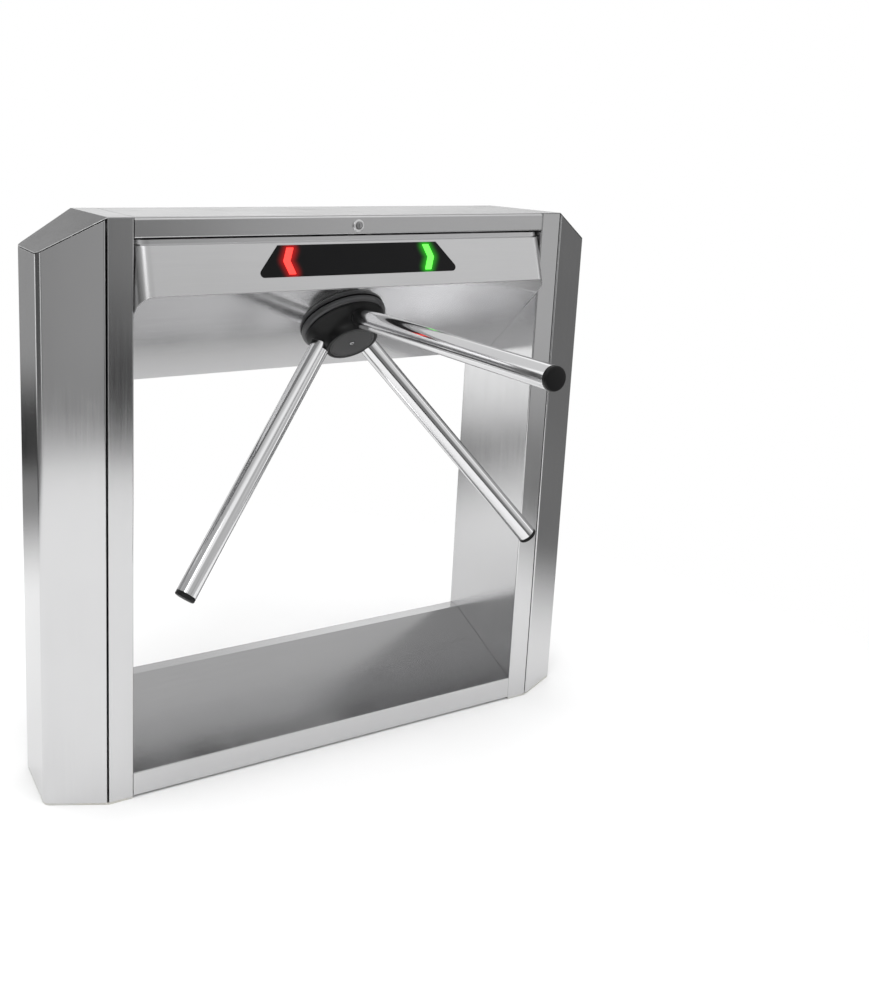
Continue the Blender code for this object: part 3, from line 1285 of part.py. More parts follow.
def make_control_board(root):
    """The control board on four standoffs behind the back sheet, with its row of relays."""
    left = CONTROL_BOARD_PLACE - CONTROL_BOARD_LENGTH / 2
    right = left + CONTROL_BOARD_LENGTH
    low = HOUSING_FLOOR_HEIGHT + CONTROL_BOARD_LIFT
    high = low + CONTROL_BOARD_HEIGHT
    face = CABINET_DEPTH - SHEET - STANDOFF
    core = face - BOARD_THICKNESS / 2
    sheet = block((left, face - BOARD_THICKNESS, low), (right, face, high))
    board = add_object("control_board", sheet, board_green(), root)
    reach = STANDOFF + BOARD_THICKNESS / 2 - FIT
    fitted = []
    for x in (left + STANDOFF_INSET, right - STANDOFF_INSET):
        for z in (low + STANDOFF_INSET, high - STANDOFF_INSET):
            turn = Matrix.Translation((x, core, z)) @ Matrix.Rotation(-math.pi / 2, 4, "X")
            fitted.append(cylinder(STANDOFF_RADIUS, 0.0, reach, TINY_ROUND, turn))
    for step in range(RELAYS):
        x = left + RELAY_START + step * RELAY_PITCH
        z = low + RELAY_RISE
        fitted.append(block((x, core - RELAY_DEPTH, z), (x + RELAY_LENGTH, core, z + RELAY_HEIGHT)))
    boolean(board, cutter("control_board_parts", joined(fitted), root), "UNION")


def build():
    clear_scene()
    root = empty("cabinet_frame", (0.0, CENTRE_SHIFT, 0.0))
    mechanism = empty("mechanism_frame", (0.0, APEX_DEPTH, APEX_HEIGHT), root, -AXIS_TILT)
    rotor = empty("rotor_axis", (0.0, 0.0, 0.0), mechanism)
    make_post(-1, "left", root)
    make_post(1, "right", root)
    make_tray(root)
    make_hub_plate(root, mechanism)
    make_fascia(root)
    make_display(root)
    make_housing_back(root)
    make_lid(root)
    make_arms(rotor)
    make_hub(rotor)
    make_shaft(rotor)
    make_discs(rotor)
    make_bearings(mechanism)
    make_mechanism_plate(mechanism)
    make_damper(mechanism)
    make_lever(mechanism)
    make_pawl(-1, "left", mechanism)
    make_pawl(1, "right", mechanism)
    make_encoder_board(mechanism)
    make_electronics(root)
    bpy.context.view_layer.update()


build()
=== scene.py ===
"""Looks of the tripod turnstile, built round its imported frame.

The cabinet's folded sheets, the hub, the arms, the display and the lock are modelled again with
finer bends and rounded edges. The gear inside keeps its solids and gets its finishes here.
"""

import logging
import math
from dataclasses import dataclass, field
from enum import Enum
from typing import Any, Callable, Iterable, Sequence

import bmesh
import bpy
from mathutils import Matrix, Vector


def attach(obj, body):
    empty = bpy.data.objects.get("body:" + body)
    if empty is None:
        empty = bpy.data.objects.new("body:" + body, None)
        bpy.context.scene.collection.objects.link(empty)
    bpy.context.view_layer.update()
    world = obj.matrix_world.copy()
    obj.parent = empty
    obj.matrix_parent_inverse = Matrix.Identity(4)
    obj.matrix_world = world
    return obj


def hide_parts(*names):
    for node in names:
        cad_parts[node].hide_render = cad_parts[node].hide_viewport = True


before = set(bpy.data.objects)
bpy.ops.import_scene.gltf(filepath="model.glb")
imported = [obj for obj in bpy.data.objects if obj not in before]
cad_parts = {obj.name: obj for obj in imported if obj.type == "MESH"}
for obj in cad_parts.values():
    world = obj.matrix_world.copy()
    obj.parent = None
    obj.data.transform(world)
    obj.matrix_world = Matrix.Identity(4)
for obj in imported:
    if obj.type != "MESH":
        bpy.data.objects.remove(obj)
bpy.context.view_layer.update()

EDGE = 0.0003  # rounding of a sheet's cut edges, in metres
REACH = 0.004  # how far a tool body stands out of a sheet, in metres
ROUND = 128  # faces round a large disc
CURVE = 16  # steps along a drawn curve
ARMS_MEET = (0.0, 0.2072, 0.840)  # where the arms' axes meet, in the row frame
AXIS_TILT = -45.0  # turn of the rotor's axis about X, in degrees

log = logging.getLogger("turnstile")

Point = Sequence[float]
Line = list[Vector]
Colour = tuple[float, float, float]
Mesh = bmesh.types.BMesh
Node = bpy.types.Node
Socket = bpy.types.NodeSocket


class Side(Enum):
    """The two ends of the cabinet."""

    LEFT = -1
    RIGHT = 1

    @property
    def label(self) -> str:
        """The word that piece names begin with."""
        return self.name.lower()


class Grain(Enum):
    """The way a brushed sheet's grain runs, as how quickly the grain changes along X, Y and Z."""

    ALONG = (0.02, 1.0, 1.0)
    UP = (1.0, 1.0, 0.02)


class Join(Enum):
    """How a tool body changes a piece."""

    ADD = "UNION"
    CUT = "DIFFERENCE"


# Shader maths


def operator(operation: str, flipped: bool = False) -> Callable[["Value", "Value | float"], "Value"]:
    """Make a method of Value that adds one Math node.

    Args:
        operation: the Math node's operation.
        flipped: whether the other term comes first.

    Returns:
        The method.
    """
    def method(self: "Value", other: "Value | float") -> "Value":
        """Work the operation out with another value or a plain number."""
        return self.graph.maths(operation, *((other, self) if flipped else (self, other)))

    return method


class Value:
    """A number on a node's output socket; arithmetic on it adds Math nodes."""

    def __init__(self, graph: "Graph", socket: Socket) -> None:
        """Wrap one output socket of a graph."""
        self.graph = graph
        self.socket = socket

    __add__, __radd__ = operator("ADD"), operator("ADD", True)
    __sub__, __rsub__ = operator("SUBTRACT"), operator("SUBTRACT", True)
    __mul__, __rmul__ = operator("MULTIPLY"), operator("MULTIPLY", True)
    __truediv__, __rtruediv__ = operator("DIVIDE"), operator("DIVIDE", True)
    __pow__ = operator("POWER")
    least, most = operator("MINIMUM"), operator("MAXIMUM")

    def __neg__(self) -> "Value":
        """Opposite."""
        return self.graph.maths("MULTIPLY", self, -1.0)

    def __abs__(self) -> "Value":
        """Size without sign."""
        return self.graph.maths("ABSOLUTE", self)

    def sine(self) -> "Value":
        """Sine of an angle in radians."""
        return self.graph.maths("SINE", self)

    def rise(self, low: float, high: float) -> "Value":
        """Smooth step from 0 at low to 1 at high.

        Args:
            low: value that gives 0.
            high: value that gives 1.

        Returns:
            The stepped value.
        """
        made = self.graph.node("ShaderNodeMapRange", {"interpolation_type": "SMOOTHSTEP"},
                               {"Value": self, "From Min": low, "From Max": high})
        return Value(self.graph, made.outputs["Result"])


class Graph:
    """One node tree, with the few ways in which this file adds to it."""

    def __init__(self, tree: bpy.types.NodeTree) -> None:
        """Work on an existing node tree."""
        self.tree = tree

    def node(self, kind: str, settings: dict[str, Any] | None = None,
             sockets: dict[int | str, Any] | None = None) -> Node:
        """Add a node of any type.

        Args:
            kind: the node's type name.
            settings: its properties, which are set first.
            sockets: a value or a link for each input socket, by name or by place.

        Returns:
            The new node.
        """
        made = self.tree.nodes.new(kind)
        for name, value in (settings or {}).items():
            setattr(made, name, value)
        for name, value in (sockets or {}).items():
            self.feed(made.inputs[name], value)
        return made

    def feed(self, entry: Socket, value: Any) -> None:
        """Give an input socket a value or a link.

        Args:
            entry: the input socket.
            value: a Value, an output socket or a plain value.
        """
        if isinstance(value, Value):
            value = value.socket
        if isinstance(value, Socket):
            self.tree.links.new(value, entry)
        else:
            entry.default_value = value

    def maths(self, operation: str, *terms: "Value | float") -> Value:
        """Add one Math node with its one to three terms."""
        made = self.node("ShaderNodeMath", {"operation": operation}, dict(enumerate(terms)))
        return Value(self, made.outputs[0])

    def vector(self, operation: str, *terms: Any, number: bool = False) -> Any:
        """Add one Vector Math node; the result is a socket, or a Value where number is set."""
        made = self.node("ShaderNodeVectorMath", {"operation": operation}, dict(enumerate(terms)))
        return Value(self, made.outputs["Value"]) if number else made.outputs["Vector"]

    def spot(self, output: str = "Object") -> Socket:
        """Where a shaded point is on its own piece."""
        return self.node("ShaderNodeTexCoord").outputs[output]

    def parts(self, vector: Socket) -> tuple[Value, Value, Value]:
        """Split a vector into its X, Y and Z values."""
        made = self.node("ShaderNodeSeparateXYZ", None, {0: vector})
        return tuple(Value(self, made.outputs[place]) for place in range(3))

    def noise(self, scale: float, detail: float = 2.0, stretch: Point = (1.0, 1.0, 1.0)) -> Value:
        """Noise between 0 and 1 in the piece's own metres.

        Args:
            scale: waves in a metre.
            detail: octaves.
            stretch: how quickly it changes along each direction.

        Returns:
            The noise value.
        """
        spread = self.vector("MULTIPLY", self.spot(), tuple(stretch))
        made = self.node("ShaderNodeTexNoise", {"noise_dimensions": "3D"},
                         {"Vector": spread, "Scale": scale, "Detail": detail, "Roughness": 0.55})
        return Value(self, made.outputs["Fac"])

    def tint(self, share: "Value | float", first: Point, second: Point) -> Socket:
        """Mix two colours, each a linear RGB or a colour socket.

        Args:
            share: how much of the second colour.
            first: the first colour.
            second: the second colour.

        Returns:
            The mixed colour's socket.
        """
        pair = [(*c, 1.0) if isinstance(c, tuple) else c for c in (first, second)]
        made = self.node("ShaderNodeMix", {"data_type": "RGBA", "clamp_factor": True},
                         {0: share, 6: pair[0], 7: pair[1]})
        return made.outputs[2]

    def bump(self, height: Value, distance: float, strength: float = 1.0,
             under: Socket | None = None) -> Socket:
        """Turn a height into a normal.

        Args:
            height: the height, 0 to 1.
            distance: what a height of 1 stands for, in metres.
            strength: how much of it shows.
            under: a normal to add to.

        Returns:
            The normal's socket.
        """
        sockets: dict[int | str, Any] = {"Height": height, "Distance": distance, "Strength": strength}
        if under is not None:
            sockets["Normal"] = under
        return self.node("ShaderNodeBump", None, sockets).outputs["Normal"]


# Finishes


def grey(tone: float, blue: float | None = None) -> Colour:
    """A grey, or one whose blue differs a little."""
    return (tone, tone, tone if blue is None else blue)


def shade(tone: float, part: float, blue: float) -> Colour:
    """A grey at one part of a tone, with its blue at another."""
    return grey(tone * part, tone * blue)


@dataclass(frozen=True)
class Finish:
    """What every finish has: its own name and the record's material slot that it belongs to. The slot is not
    used in this script.
    """

    name: str
    slot: str

    def material(self) -> bpy.types.Material:
        """Return this finish's material, made when it is first asked for.

        Returns:
            The material.
        """
        made = bpy.data.materials.get(self.name)
        if made is None:
            made = bpy.data.materials.new(self.name)
            made.use_nodes = True
            graph = Graph(made.node_tree)
            shader = made.node_tree.nodes["Principled BSDF"]
            for name, value in self.paint(graph).items():
                graph.feed(shader.inputs[name.replace("_", " ")], value)
        return made

    def paint(self, graph: Graph) -> dict[str, Any]:
        """What feeds the shader's sockets, by name with _ for a space in it."""
        raise NotImplementedError


@dataclass(frozen=True)
class BrushedSteel(Finish):
    """Stainless sheet with a fine brushed grain, faint clouds and a slightly wavy surface."""

    slot: str = "brushed_stainless"
    grain: Grain = Grain.ALONG
    tone: float = 0.60
    roughness: float = 0.22
    wave: float = 0.0011

    def paint(self, graph: Graph) -> dict[str, Any]:
        """Grain in colour, gloss and relief, clouds in gloss.

        Args:
            graph: the material's nodes.

        Returns:
            What feeds the shader's sockets.
        """
        fine = graph.noise(620.0, 3.0, self.grain.value)
        coarse = graph.noise(130.0, 2.0, self.grain.value)
        cloud = graph.noise(5.5, 3.0)
        hands = graph.noise(17.0, 4.0, (1.0, 1.0, 0.7)).rise(0.56, 0.80)
        streak = fine * 0.6 + coarse * 0.4
        share = streak * 0.55 + cloud * 0.45
        gloss = self.roughness + (streak - 0.5) * 0.10 + (cloud - 0.5) * 0.09 + hands * 0.035
        wave = graph.bump(graph.noise(3.2, 1.0), self.wave)
        relief = graph.bump(streak, 0.000012, 0.5, wave)
        colour = graph.tint(share, shade(self.tone, 0.90, 0.91), shade(self.tone, 1.08, 1.085))
        return dict(Base_Color=colour, Metallic=1.0, Roughness=gloss, Normal=relief)


@dataclass(frozen=True)
class PolishedTube(Finish):
    """Polished stainless tube, with the long faint lines that drawing and buffing leave."""

    slot: str = "polished_tube"

    def paint(self, graph: Graph) -> dict[str, Any]:
        """A bright mirror with long faint lines along Z.

        Args:
            graph: the material's nodes.

        Returns:
            What feeds the shader's sockets.
        """
        lines = graph.noise(420.0, 3.0, (1.0, 1.0, 0.012))
        marks = graph.noise(60.0, 4.0, (1.0, 1.0, 0.25)).rise(0.60, 0.85)
        ripple = graph.bump(graph.noise(14.0, 1.0, (1.0, 1.0, 0.5)), 0.00022)
        relief = graph.bump(lines, 0.000006, 0.5, ripple)
        return dict(Base_Color=graph.tint(lines, grey(0.56), grey(0.72, 0.715)),
                    Metallic=1.0, Roughness=0.055 + lines * 0.045 + marks * 0.07, Normal=relief)


@dataclass(frozen=True)
class SatinBlack(Finish):
    """Black moulding or powder coat with a fine grain and slightly polished patches."""

    slot: str = "black_plastic"
    tone: float = 0.012
    roughness: float = 0.38
    sheen: float = 0.5

    def paint(self, graph: Graph) -> dict[str, Any]:
        """Fine grain in relief, handling wear in gloss.

        Args:
            graph: the material's nodes.

        Returns:
            What feeds the shader's sockets.
        """
        grain = graph.noise(1500.0)
        worn = graph.noise(28.0, 4.0)
        return dict(Base_Color=graph.tint(worn, shade(self.tone, 0.85, 0.88), shade(self.tone, 1.45, 1.5)),
                    Roughness=self.roughness + (worn - 0.5) * 0.16 + (grain - 0.5) * 0.05,
                    Normal=graph.bump(grain, 0.00004, 0.6), Specular_IOR_Level=self.sheen)


@dataclass(frozen=True)
class ArrowShape:
    """Where the two lit chevrons are on the display, in its own metres."""

    middle: float = 0.0505
    height: float = 0.047
    width: float = 0.0145
    point: float = 0.009
    offset: float = 0.1375

    def spine_distance(self, graph: Graph) -> tuple[Value, Value]:
        """Measure how far a point on the glass is from the nearer chevron's middle line.

        Args:
            graph: the material's nodes.

        Returns:
            That distance, and X, whose sign says which chevron it is.
        """
        x, y, _ = graph.parts(graph.spot())
        half = self.height / 2 - self.width * 0.25
        across = abs(x) - self.offset
        up = abs(y - self.middle)
        share = ((self.point - across) * self.point + up * half) / (self.point ** 2 + half ** 2)
        held = share.most(0.0).least(1.0)
        off_x = across - (1.0 - held) * self.point
        off_y = up - held * half
        return (off_x * off_x + off_y * off_y) ** 0.5, x


@dataclass(frozen=True)
class SmokedGlass(Finish):
    """Near-black glass over the indicators, with the glow that they throw into it."""

    slot: str = "black_glass"
    arrows: ArrowShape = ArrowShape()

    def paint(self, graph: Graph) -> dict[str, Any]:
        """A polished black sheet with a red and a green glow.

        Args:
            graph: the material's nodes.

        Returns:
            What feeds the shader's sockets.
        """
        film = graph.noise(22.0, 4.0)
        away, x = self.arrows.spine_distance(graph)
        glow = (1.0 - away.rise(0.004, 0.025)) ** 2.0 * 0.50
        side = x.rise(-0.001, 0.001)
        hue = graph.tint(side, (0.85, 0.006, 0.006), (0.03, 0.72, 0.015))
        black = graph.tint(film, (0.0015, 0.0015, 0.0018), (0.004, 0.004, 0.0045))
        return dict(Base_Color=black, Roughness=0.035 + film * 0.05, Specular_IOR_Level=0.16,
                    Emission_Color=graph.tint(glow, grey(0.0), hue), Emission_Strength=1.0)


@dataclass(frozen=True)
class LitArrow(Finish):
    """A lit chevron, whitest along its middle line."""

    core: Colour
    rim: Colour
    arrows: ArrowShape

    def paint(self, graph: Graph) -> dict[str, Any]:
        """Light that falls from the middle line to the rim, with a fine dot grid.

        Args:
            graph: the material's nodes.

        Returns:
            What feeds the shader's sockets.
        """
        away, _ = self.arrows.spine_distance(graph)
        x, y, _ = graph.parts(graph.spot())
        dots = ((x * 2100.0).sine() * (y * 2100.0).sine()) * 0.5 + 0.5
        share = away.rise(0.0025, 0.0075) * 0.85 + dots * 0.10
        return dict(Base_Color=(0.02, 0.02, 0.02, 1.0), Roughness=0.18 + dots * 0.04,
                    Emission_Color=graph.tint(share, self.core, self.rim), Specular_IOR_Level=0.22,
                    Emission_Strength=1.0)


@dataclass(frozen=True)
class ZincPlate(Finish):
    """Zinc-plated steel with a faint warm and cool mottling."""

    slot: str = "zinc_plate"

    def paint(self, graph: Graph) -> dict[str, Any]:
        """Mottled plate with small differences in gloss.

        Args:
            graph: the material's nodes.

        Returns:
            What feeds the shader's sockets.
        """
        flake = graph.noise(70.0, 4.0)
        drift = graph.noise(11.0)
        base = graph.tint(flake, (0.50, 0.50, 0.485), (0.66, 0.66, 0.645))
        shaded = graph.tint(drift.rise(0.35, 0.75) * 0.35, base, (0.62, 0.58, 0.46))
        return dict(Base_Color=shaded, Metallic=1.0, Roughness=0.30 + flake * 0.22,
                    Normal=graph.bump(flake, 0.00003, 0.6))


@dataclass(frozen=True)
class MachinedSteel(Finish):
    """Turned steel: fine rings round the shaft axis, under a thin film of oil."""

    slot: str = "machined_steel"
    tone: float = 0.46

    def paint(self, graph: Graph) -> dict[str, Any]:
        """Rings about the rotor's axis in colour, gloss and relief.

        Args:
            graph: the material's nodes.

        Returns:
            What feeds the shader's sockets.
        """
        axis = Rotor.world_axis()
        offset = graph.vector("SUBTRACT", graph.spot(), tuple(axis.translation))
        way = tuple(axis.col[2].xyz)
        away = graph.vector("LENGTH", graph.vector("CROSS_PRODUCT", offset, way), number=True)
        rings = (away * 9000.0).sine() * 0.5 + 0.5
        oil = graph.noise(34.0, 3.0)
        share = rings * 0.35 + oil * 0.65
        low = (self.tone * 0.80, self.tone * 0.81, self.tone * 0.84)
        high = (self.tone * 1.18, self.tone * 1.18, self.tone * 1.2)
        return dict(Base_Color=graph.tint(share, low, high), Metallic=1.0,
                    Roughness=0.24 + oil * 0.18 + rings * 0.05, Normal=graph.bump(rings, 0.000015, 0.5))


@dataclass(frozen=True)
class CircuitBoard(Finish):
    """Green solder mask with copper tracks under it and a scatter of bright pads."""

    slot: str = "circuit_board"

    def paint(self, graph: Graph) -> dict[str, Any]:
        """Square tracks from cells, and round pads from points.

        Args:
            graph: the material's nodes.

        Returns:
            What feeds the shader's sockets.
        """
        spot = graph.spot()
        cells = graph.node("ShaderNodeTexVoronoi", {"feature": "DISTANCE_TO_EDGE"},
                           {"Vector": spot, "Scale": 95.0, "Randomness": 0.75})
        track = 1.0 - Value(graph, cells.outputs["Distance"]).rise(0.03, 0.06)
        dots = graph.node("ShaderNodeTexVoronoi", {"feature": "F1"},
                          {"Vector": spot, "Scale": 210.0, "Randomness": 0.55})
        pad = 1.0 - Value(graph, dots.outputs["Distance"]).rise(0.16, 0.20)
        mask = graph.tint(track * 0.75, (0.006, 0.065, 0.022), (0.03, 0.19, 0.06))
        shown = pad * graph.noise(30.0, 1.0).rise(0.50, 0.56)
        return dict(Base_Color=graph.tint(shown, mask, (0.72, 0.70, 0.62)), Metallic=shown,
                    Roughness=0.34 - shown * 0.10, Normal=graph.bump(track, 0.00006, 0.6))


@dataclass(frozen=True)
class ChromePlate(Finish):
    """Bright chrome plate with the faint haze of keys and fingers."""

    slot: str = "chrome_lock"
    tone: float = 0.86

    def paint(self, graph: Graph) -> dict[str, Any]:
        """A mirror with scattered fine scratches.

        Args:
            graph: the material's nodes.

        Returns:
            What feeds the shader's sockets.
        """
        haze = graph.noise(160.0, 4.0)
        return dict(Base_Color=graph.tint(haze, shade(self.tone, 0.92, 0.93), shade(self.tone, 1.0, 1.01)),
                    Metallic=1.0,
                    Roughness=0.06 + haze.rise(0.5, 0.8) * 0.14, Normal=graph.bump(haze, 0.000008, 0.5))


@dataclass(frozen=True)
class PaleFloor(Finish):
    """The studio's pale matt floor, which fades out well away from the turnstile."""

    slot: str = ""
    start: float = 1.30
    end: float = 2.05

    def paint(self, graph: Graph) -> dict[str, Any]:
        """Matt white that turns see-through with distance.

        Args:
            graph: the material's nodes.

        Returns:
            What feeds the shader's sockets.
        """
        far = graph.vector("LENGTH", graph.spot(), number=True).rise(self.start, self.end)
        return dict(Base_Color=graph.tint(graph.noise(1.5), grey(0.86), grey(0.90)),
                    Roughness=0.75, Alpha=1.0 - far)


# Outlines


def corner_arc(before: Vector, corner: Vector, after: Vector, radius: float, steps: int) -> Line:
    """Points of the arc that rounds one corner.

    Args:
        before: the corner before it.
        corner: the corner itself.
        after: the corner after it.
        radius: the arc's radius.
        steps: number of straight steps.

    Returns:
        The arc's points, in order.
    """
    back = (before - corner).normalized()
    ahead = (after - corner).normalized()
    half = back.angle(ahead) / 2
    run = radius / math.tan(half)
    centre = corner + (back + ahead).normalized() * radius / math.sin(half)
    start = corner + back * run - centre
    sweep = start.angle_signed(corner + ahead * run - centre)
    points = []
    for step in range(steps + 1):
        turn = -sweep * step / steps
        spun = Vector((start.x * math.cos(turn) - start.y * math.sin(turn),
                       start.x * math.sin(turn) + start.y * math.cos(turn)))
        points.append(centre + spun)
    return points


def rounded_path(points: Iterable[Point], radii: Sequence[float], steps: int = 8) -> Line:
    """Round the inner corners of an open path.

    Args:
        points: the path's corners.
        radii: one radius for each inner corner.
        steps: straight steps in each arc.

    Returns:
        The rounded path.
    """
    corners = [Vector(p) for p in points]
    path = [corners[0]]
    for before, corner, after, radius in zip(corners, corners[1:], corners[2:], radii):
        path += corner_arc(before, corner, after, radius, steps)
    path.append(corners[-1])
    return path


def closed_outline(points: Iterable[Point], radii: Sequence[float], steps: int = 8) -> Line:
    """Round every corner of a closed outline.

    Args:
        points: the outline's corners.
        radii: one radius for each corner.
        steps: straight steps in each arc.

    Returns:
        The rounded outline.
    """
    corners = [Vector(p) for p in points]
    outline: Line = []
    for place, (corner, radius) in enumerate(zip(corners, radii)):
        after = corners[(place + 1) % len(corners)]
        outline += corner_arc(corners[place - 1], corner, after, radius, steps)
    return outline


def offset_path(points: Iterable[Point], distance: float) -> Line:
    """Move an open path to the left of its direction, with mitred corners.

    Args:
        points: the path's corners.
        distance: how far to move it.

    Returns:
        The moved path.
    """
    corners = [Vector(p) for p in points]
    moved = []
    for place, corner in enumerate(corners):
        ahead = corners[min(place + 1, len(corners) - 1)] - corners[min(place, len(corners) - 2)]
        behind = corners[max(place, 1)] - corners[max(place - 1, 0)]
        left_ahead = Vector((-ahead.y, ahead.x)).normalized()
        left_behind = Vector((-behind.y, behind.x)).normalized()
        mitre = (left_ahead + left_behind).normalized()
        moved.append(corner + mitre * distance / mitre.dot(left_ahead))
    return moved


def sheet_sides(points: Sequence[Point], radii: Sequence[float], thickness: float,
                steps: int = 8) -> tuple[Line, Line]:
    """Both faces of a folded sheet whose path is drawn along its outer face.

    Args:
        points: the outer face's corners.
        radii: the outer bend radius at each inner corner.
        thickness: the sheet's thickness, to the left of the path, or negative to its right.
        steps: straight steps in each bend.

    Returns:
        The outer and the inner line.
    """
    corners = [Vector(p) for p in points]
    inner_radii = []
    for before, corner, after, radius in zip(corners, corners[1:], corners[2:], radii):
        turn = (corner - before).cross(after - corner)
        inner_radii.append(max(radius - thickness, 0.0003) if turn > 0 else radius + thickness)
    return (rounded_path(corners, radii, steps),
            rounded_path(offset_path(corners, thickness), inner_radii, steps))


def tilted(spot: Point, degrees: float) -> Matrix:
    """A frame at a spot, turned about X."""
    return Matrix.Translation(spot) @ Matrix.Rotation(math.radians(degrees), 4, "X")


def circle(radius: float, segments: int) -> Line:
    """Points of a circle about the origin."""
    turns = (2 * math.pi * step / segments for step in range(segments))
    return [Vector((radius * math.cos(t), radius * math.sin(t))) for t in turns]


def rectangle(low_x: float, low_y: float, high_x: float, high_y: float) -> Line:
    """Corners of an upright rectangle."""
    return [Vector(p) for p in ((low_x, low_y), (high_x, low_y), (high_x, high_y), (low_x, high_y))]


def quarter(centre: Point, radius: float, start: float, end: float, steps: int = 6) -> list[Point]:
    """Profile points on an arc between two angles in degrees."""
    turns = [math.radians(start + (end - start) * step / steps) for step in range(steps + 1)]
    return [(centre[0] + radius * math.cos(t), centre[1] + radius * math.sin(t)) for t in turns]


# Solids


def lofted_sheet(levels: Sequence[tuple[Sequence[Point], Sequence[Point]]]) -> Mesh:
    """A bent sheet.

    Args:
        levels: for each level its outer and its inner line of points, in space.

    Returns:
        The closed mesh.
    """
    data = bmesh.new()
    outer = [[data.verts.new(p) for p in level[0]] for level in levels]
    inner = [[data.verts.new(p) for p in level[1]] for level in levels]
    last = len(outer[0]) - 1
    for below, above in zip(range(len(levels) - 1), range(1, len(levels))):
        for rows in (outer, inner):
            for place in range(last):
                data.faces.new((rows[below][place], rows[below][place + 1],
                                rows[above][place + 1], rows[above][place]))
        for place in (0, last):
            data.faces.new((outer[below][place], outer[above][place],
                            inner[above][place], inner[below][place]))
    for level in (0, -1):
        for place in range(last):
            data.faces.new((outer[level][place], outer[level][place + 1],
                            inner[level][place + 1], inner[level][place]))
    return data


def upright_sheet(sides: Sequence[Line], sign: int, low: float,
                  high: Callable[[float], float]) -> Mesh:
    """A folded sheet that stands on its plan line, with its top given by the distance from the middle."""
    return lofted_sheet([tuple([(sign * p.x, p.y, limit(p.x)) for p in side] for side in sides)
                         for limit in (lambda x: low, high)])


def level_sheet(path: Sequence[Point], radii: Sequence[float], half: float,
                steps: int = 8) -> Mesh:
    """A folded sheet of half a length to each side along X, drawn by its outer (y, z) profile."""
    sides = sheet_sides(path, radii, -Cabinet.sheet, steps)
    return lofted_sheet([tuple([(x, p.x, p.y) for p in side] for side in sides) for x in (-half, half)])


def prism(outline: Sequence[Point], low: float, high: float,
          holes: Sequence[Sequence[Point]] = ()) -> Mesh:
    """A flat plate along Z.

    Args:
        outline: its outline.
        low: its lower face.
        high: its upper face.
        holes: outlines of through holes.

    Returns:
        The closed mesh.
    """
    data = bmesh.new()
    for ring in (outline, *holes):
        verts = [data.verts.new((p[0], p[1], low)) for p in ring]
        for place, vert in enumerate(verts):
            data.edges.new((vert, verts[(place + 1) % len(verts)]))
    if holes:
        bmesh.ops.triangle_fill(data, use_beauty=True, edges=data.edges)
    else:
        data.faces.new(data.verts)
    raised = bmesh.ops.extrude_face_region(data, geom=list(data.faces))
    lifted = [part for part in raised["geom"] if isinstance(part, bmesh.types.BMVert)]
    bmesh.ops.translate(data, verts=lifted, vec=(0.0, 0.0, high - low))
    return data


def turned(profile: Sequence[Point], segments: int, matrix: Matrix | None = None) -> Mesh:
    """Spin a profile about Z.

    Args:
        profile: (radius, height) points; it closes on itself or ends on the axis.
        segments: faces round the axis.
        matrix: where to put the result.

    Returns:
        The closed mesh.
    """
    data = bmesh.new()
    rings = []
    for radius, height in profile:
        if radius < 1e-9:
            rings.append([data.verts.new((0.0, 0.0, height))])
        else:
            rings.append([data.verts.new((p.x, p.y, height)) for p in circle(radius, segments)])
    pairs = list(zip(rings, rings[1:]))
    if len(rings[0]) > 1:
        pairs.append((rings[-1], rings[0]))
    for lower, upper in pairs:
        for step in range(segments):
            after = (step + 1) % segments
            quad = [lower[step % len(lower)], lower[after % len(lower)],
                    upper[after % len(upper)], upper[step % len(upper)]]
            data.faces.new(list(dict.fromkeys(quad)))
    if matrix is not None:
        bmesh.ops.transform(data, matrix=matrix, verts=data.verts)
    return data


def cylinder(radius: float, low: float, high: float, segments: int = 64,
             matrix: Matrix | None = None) -> Mesh:
    """A solid cylinder about Z, for use as a tool body."""
    return turned([(0.0, low), (radius, low), (radius, high), (0.0, high)], segments, matrix)


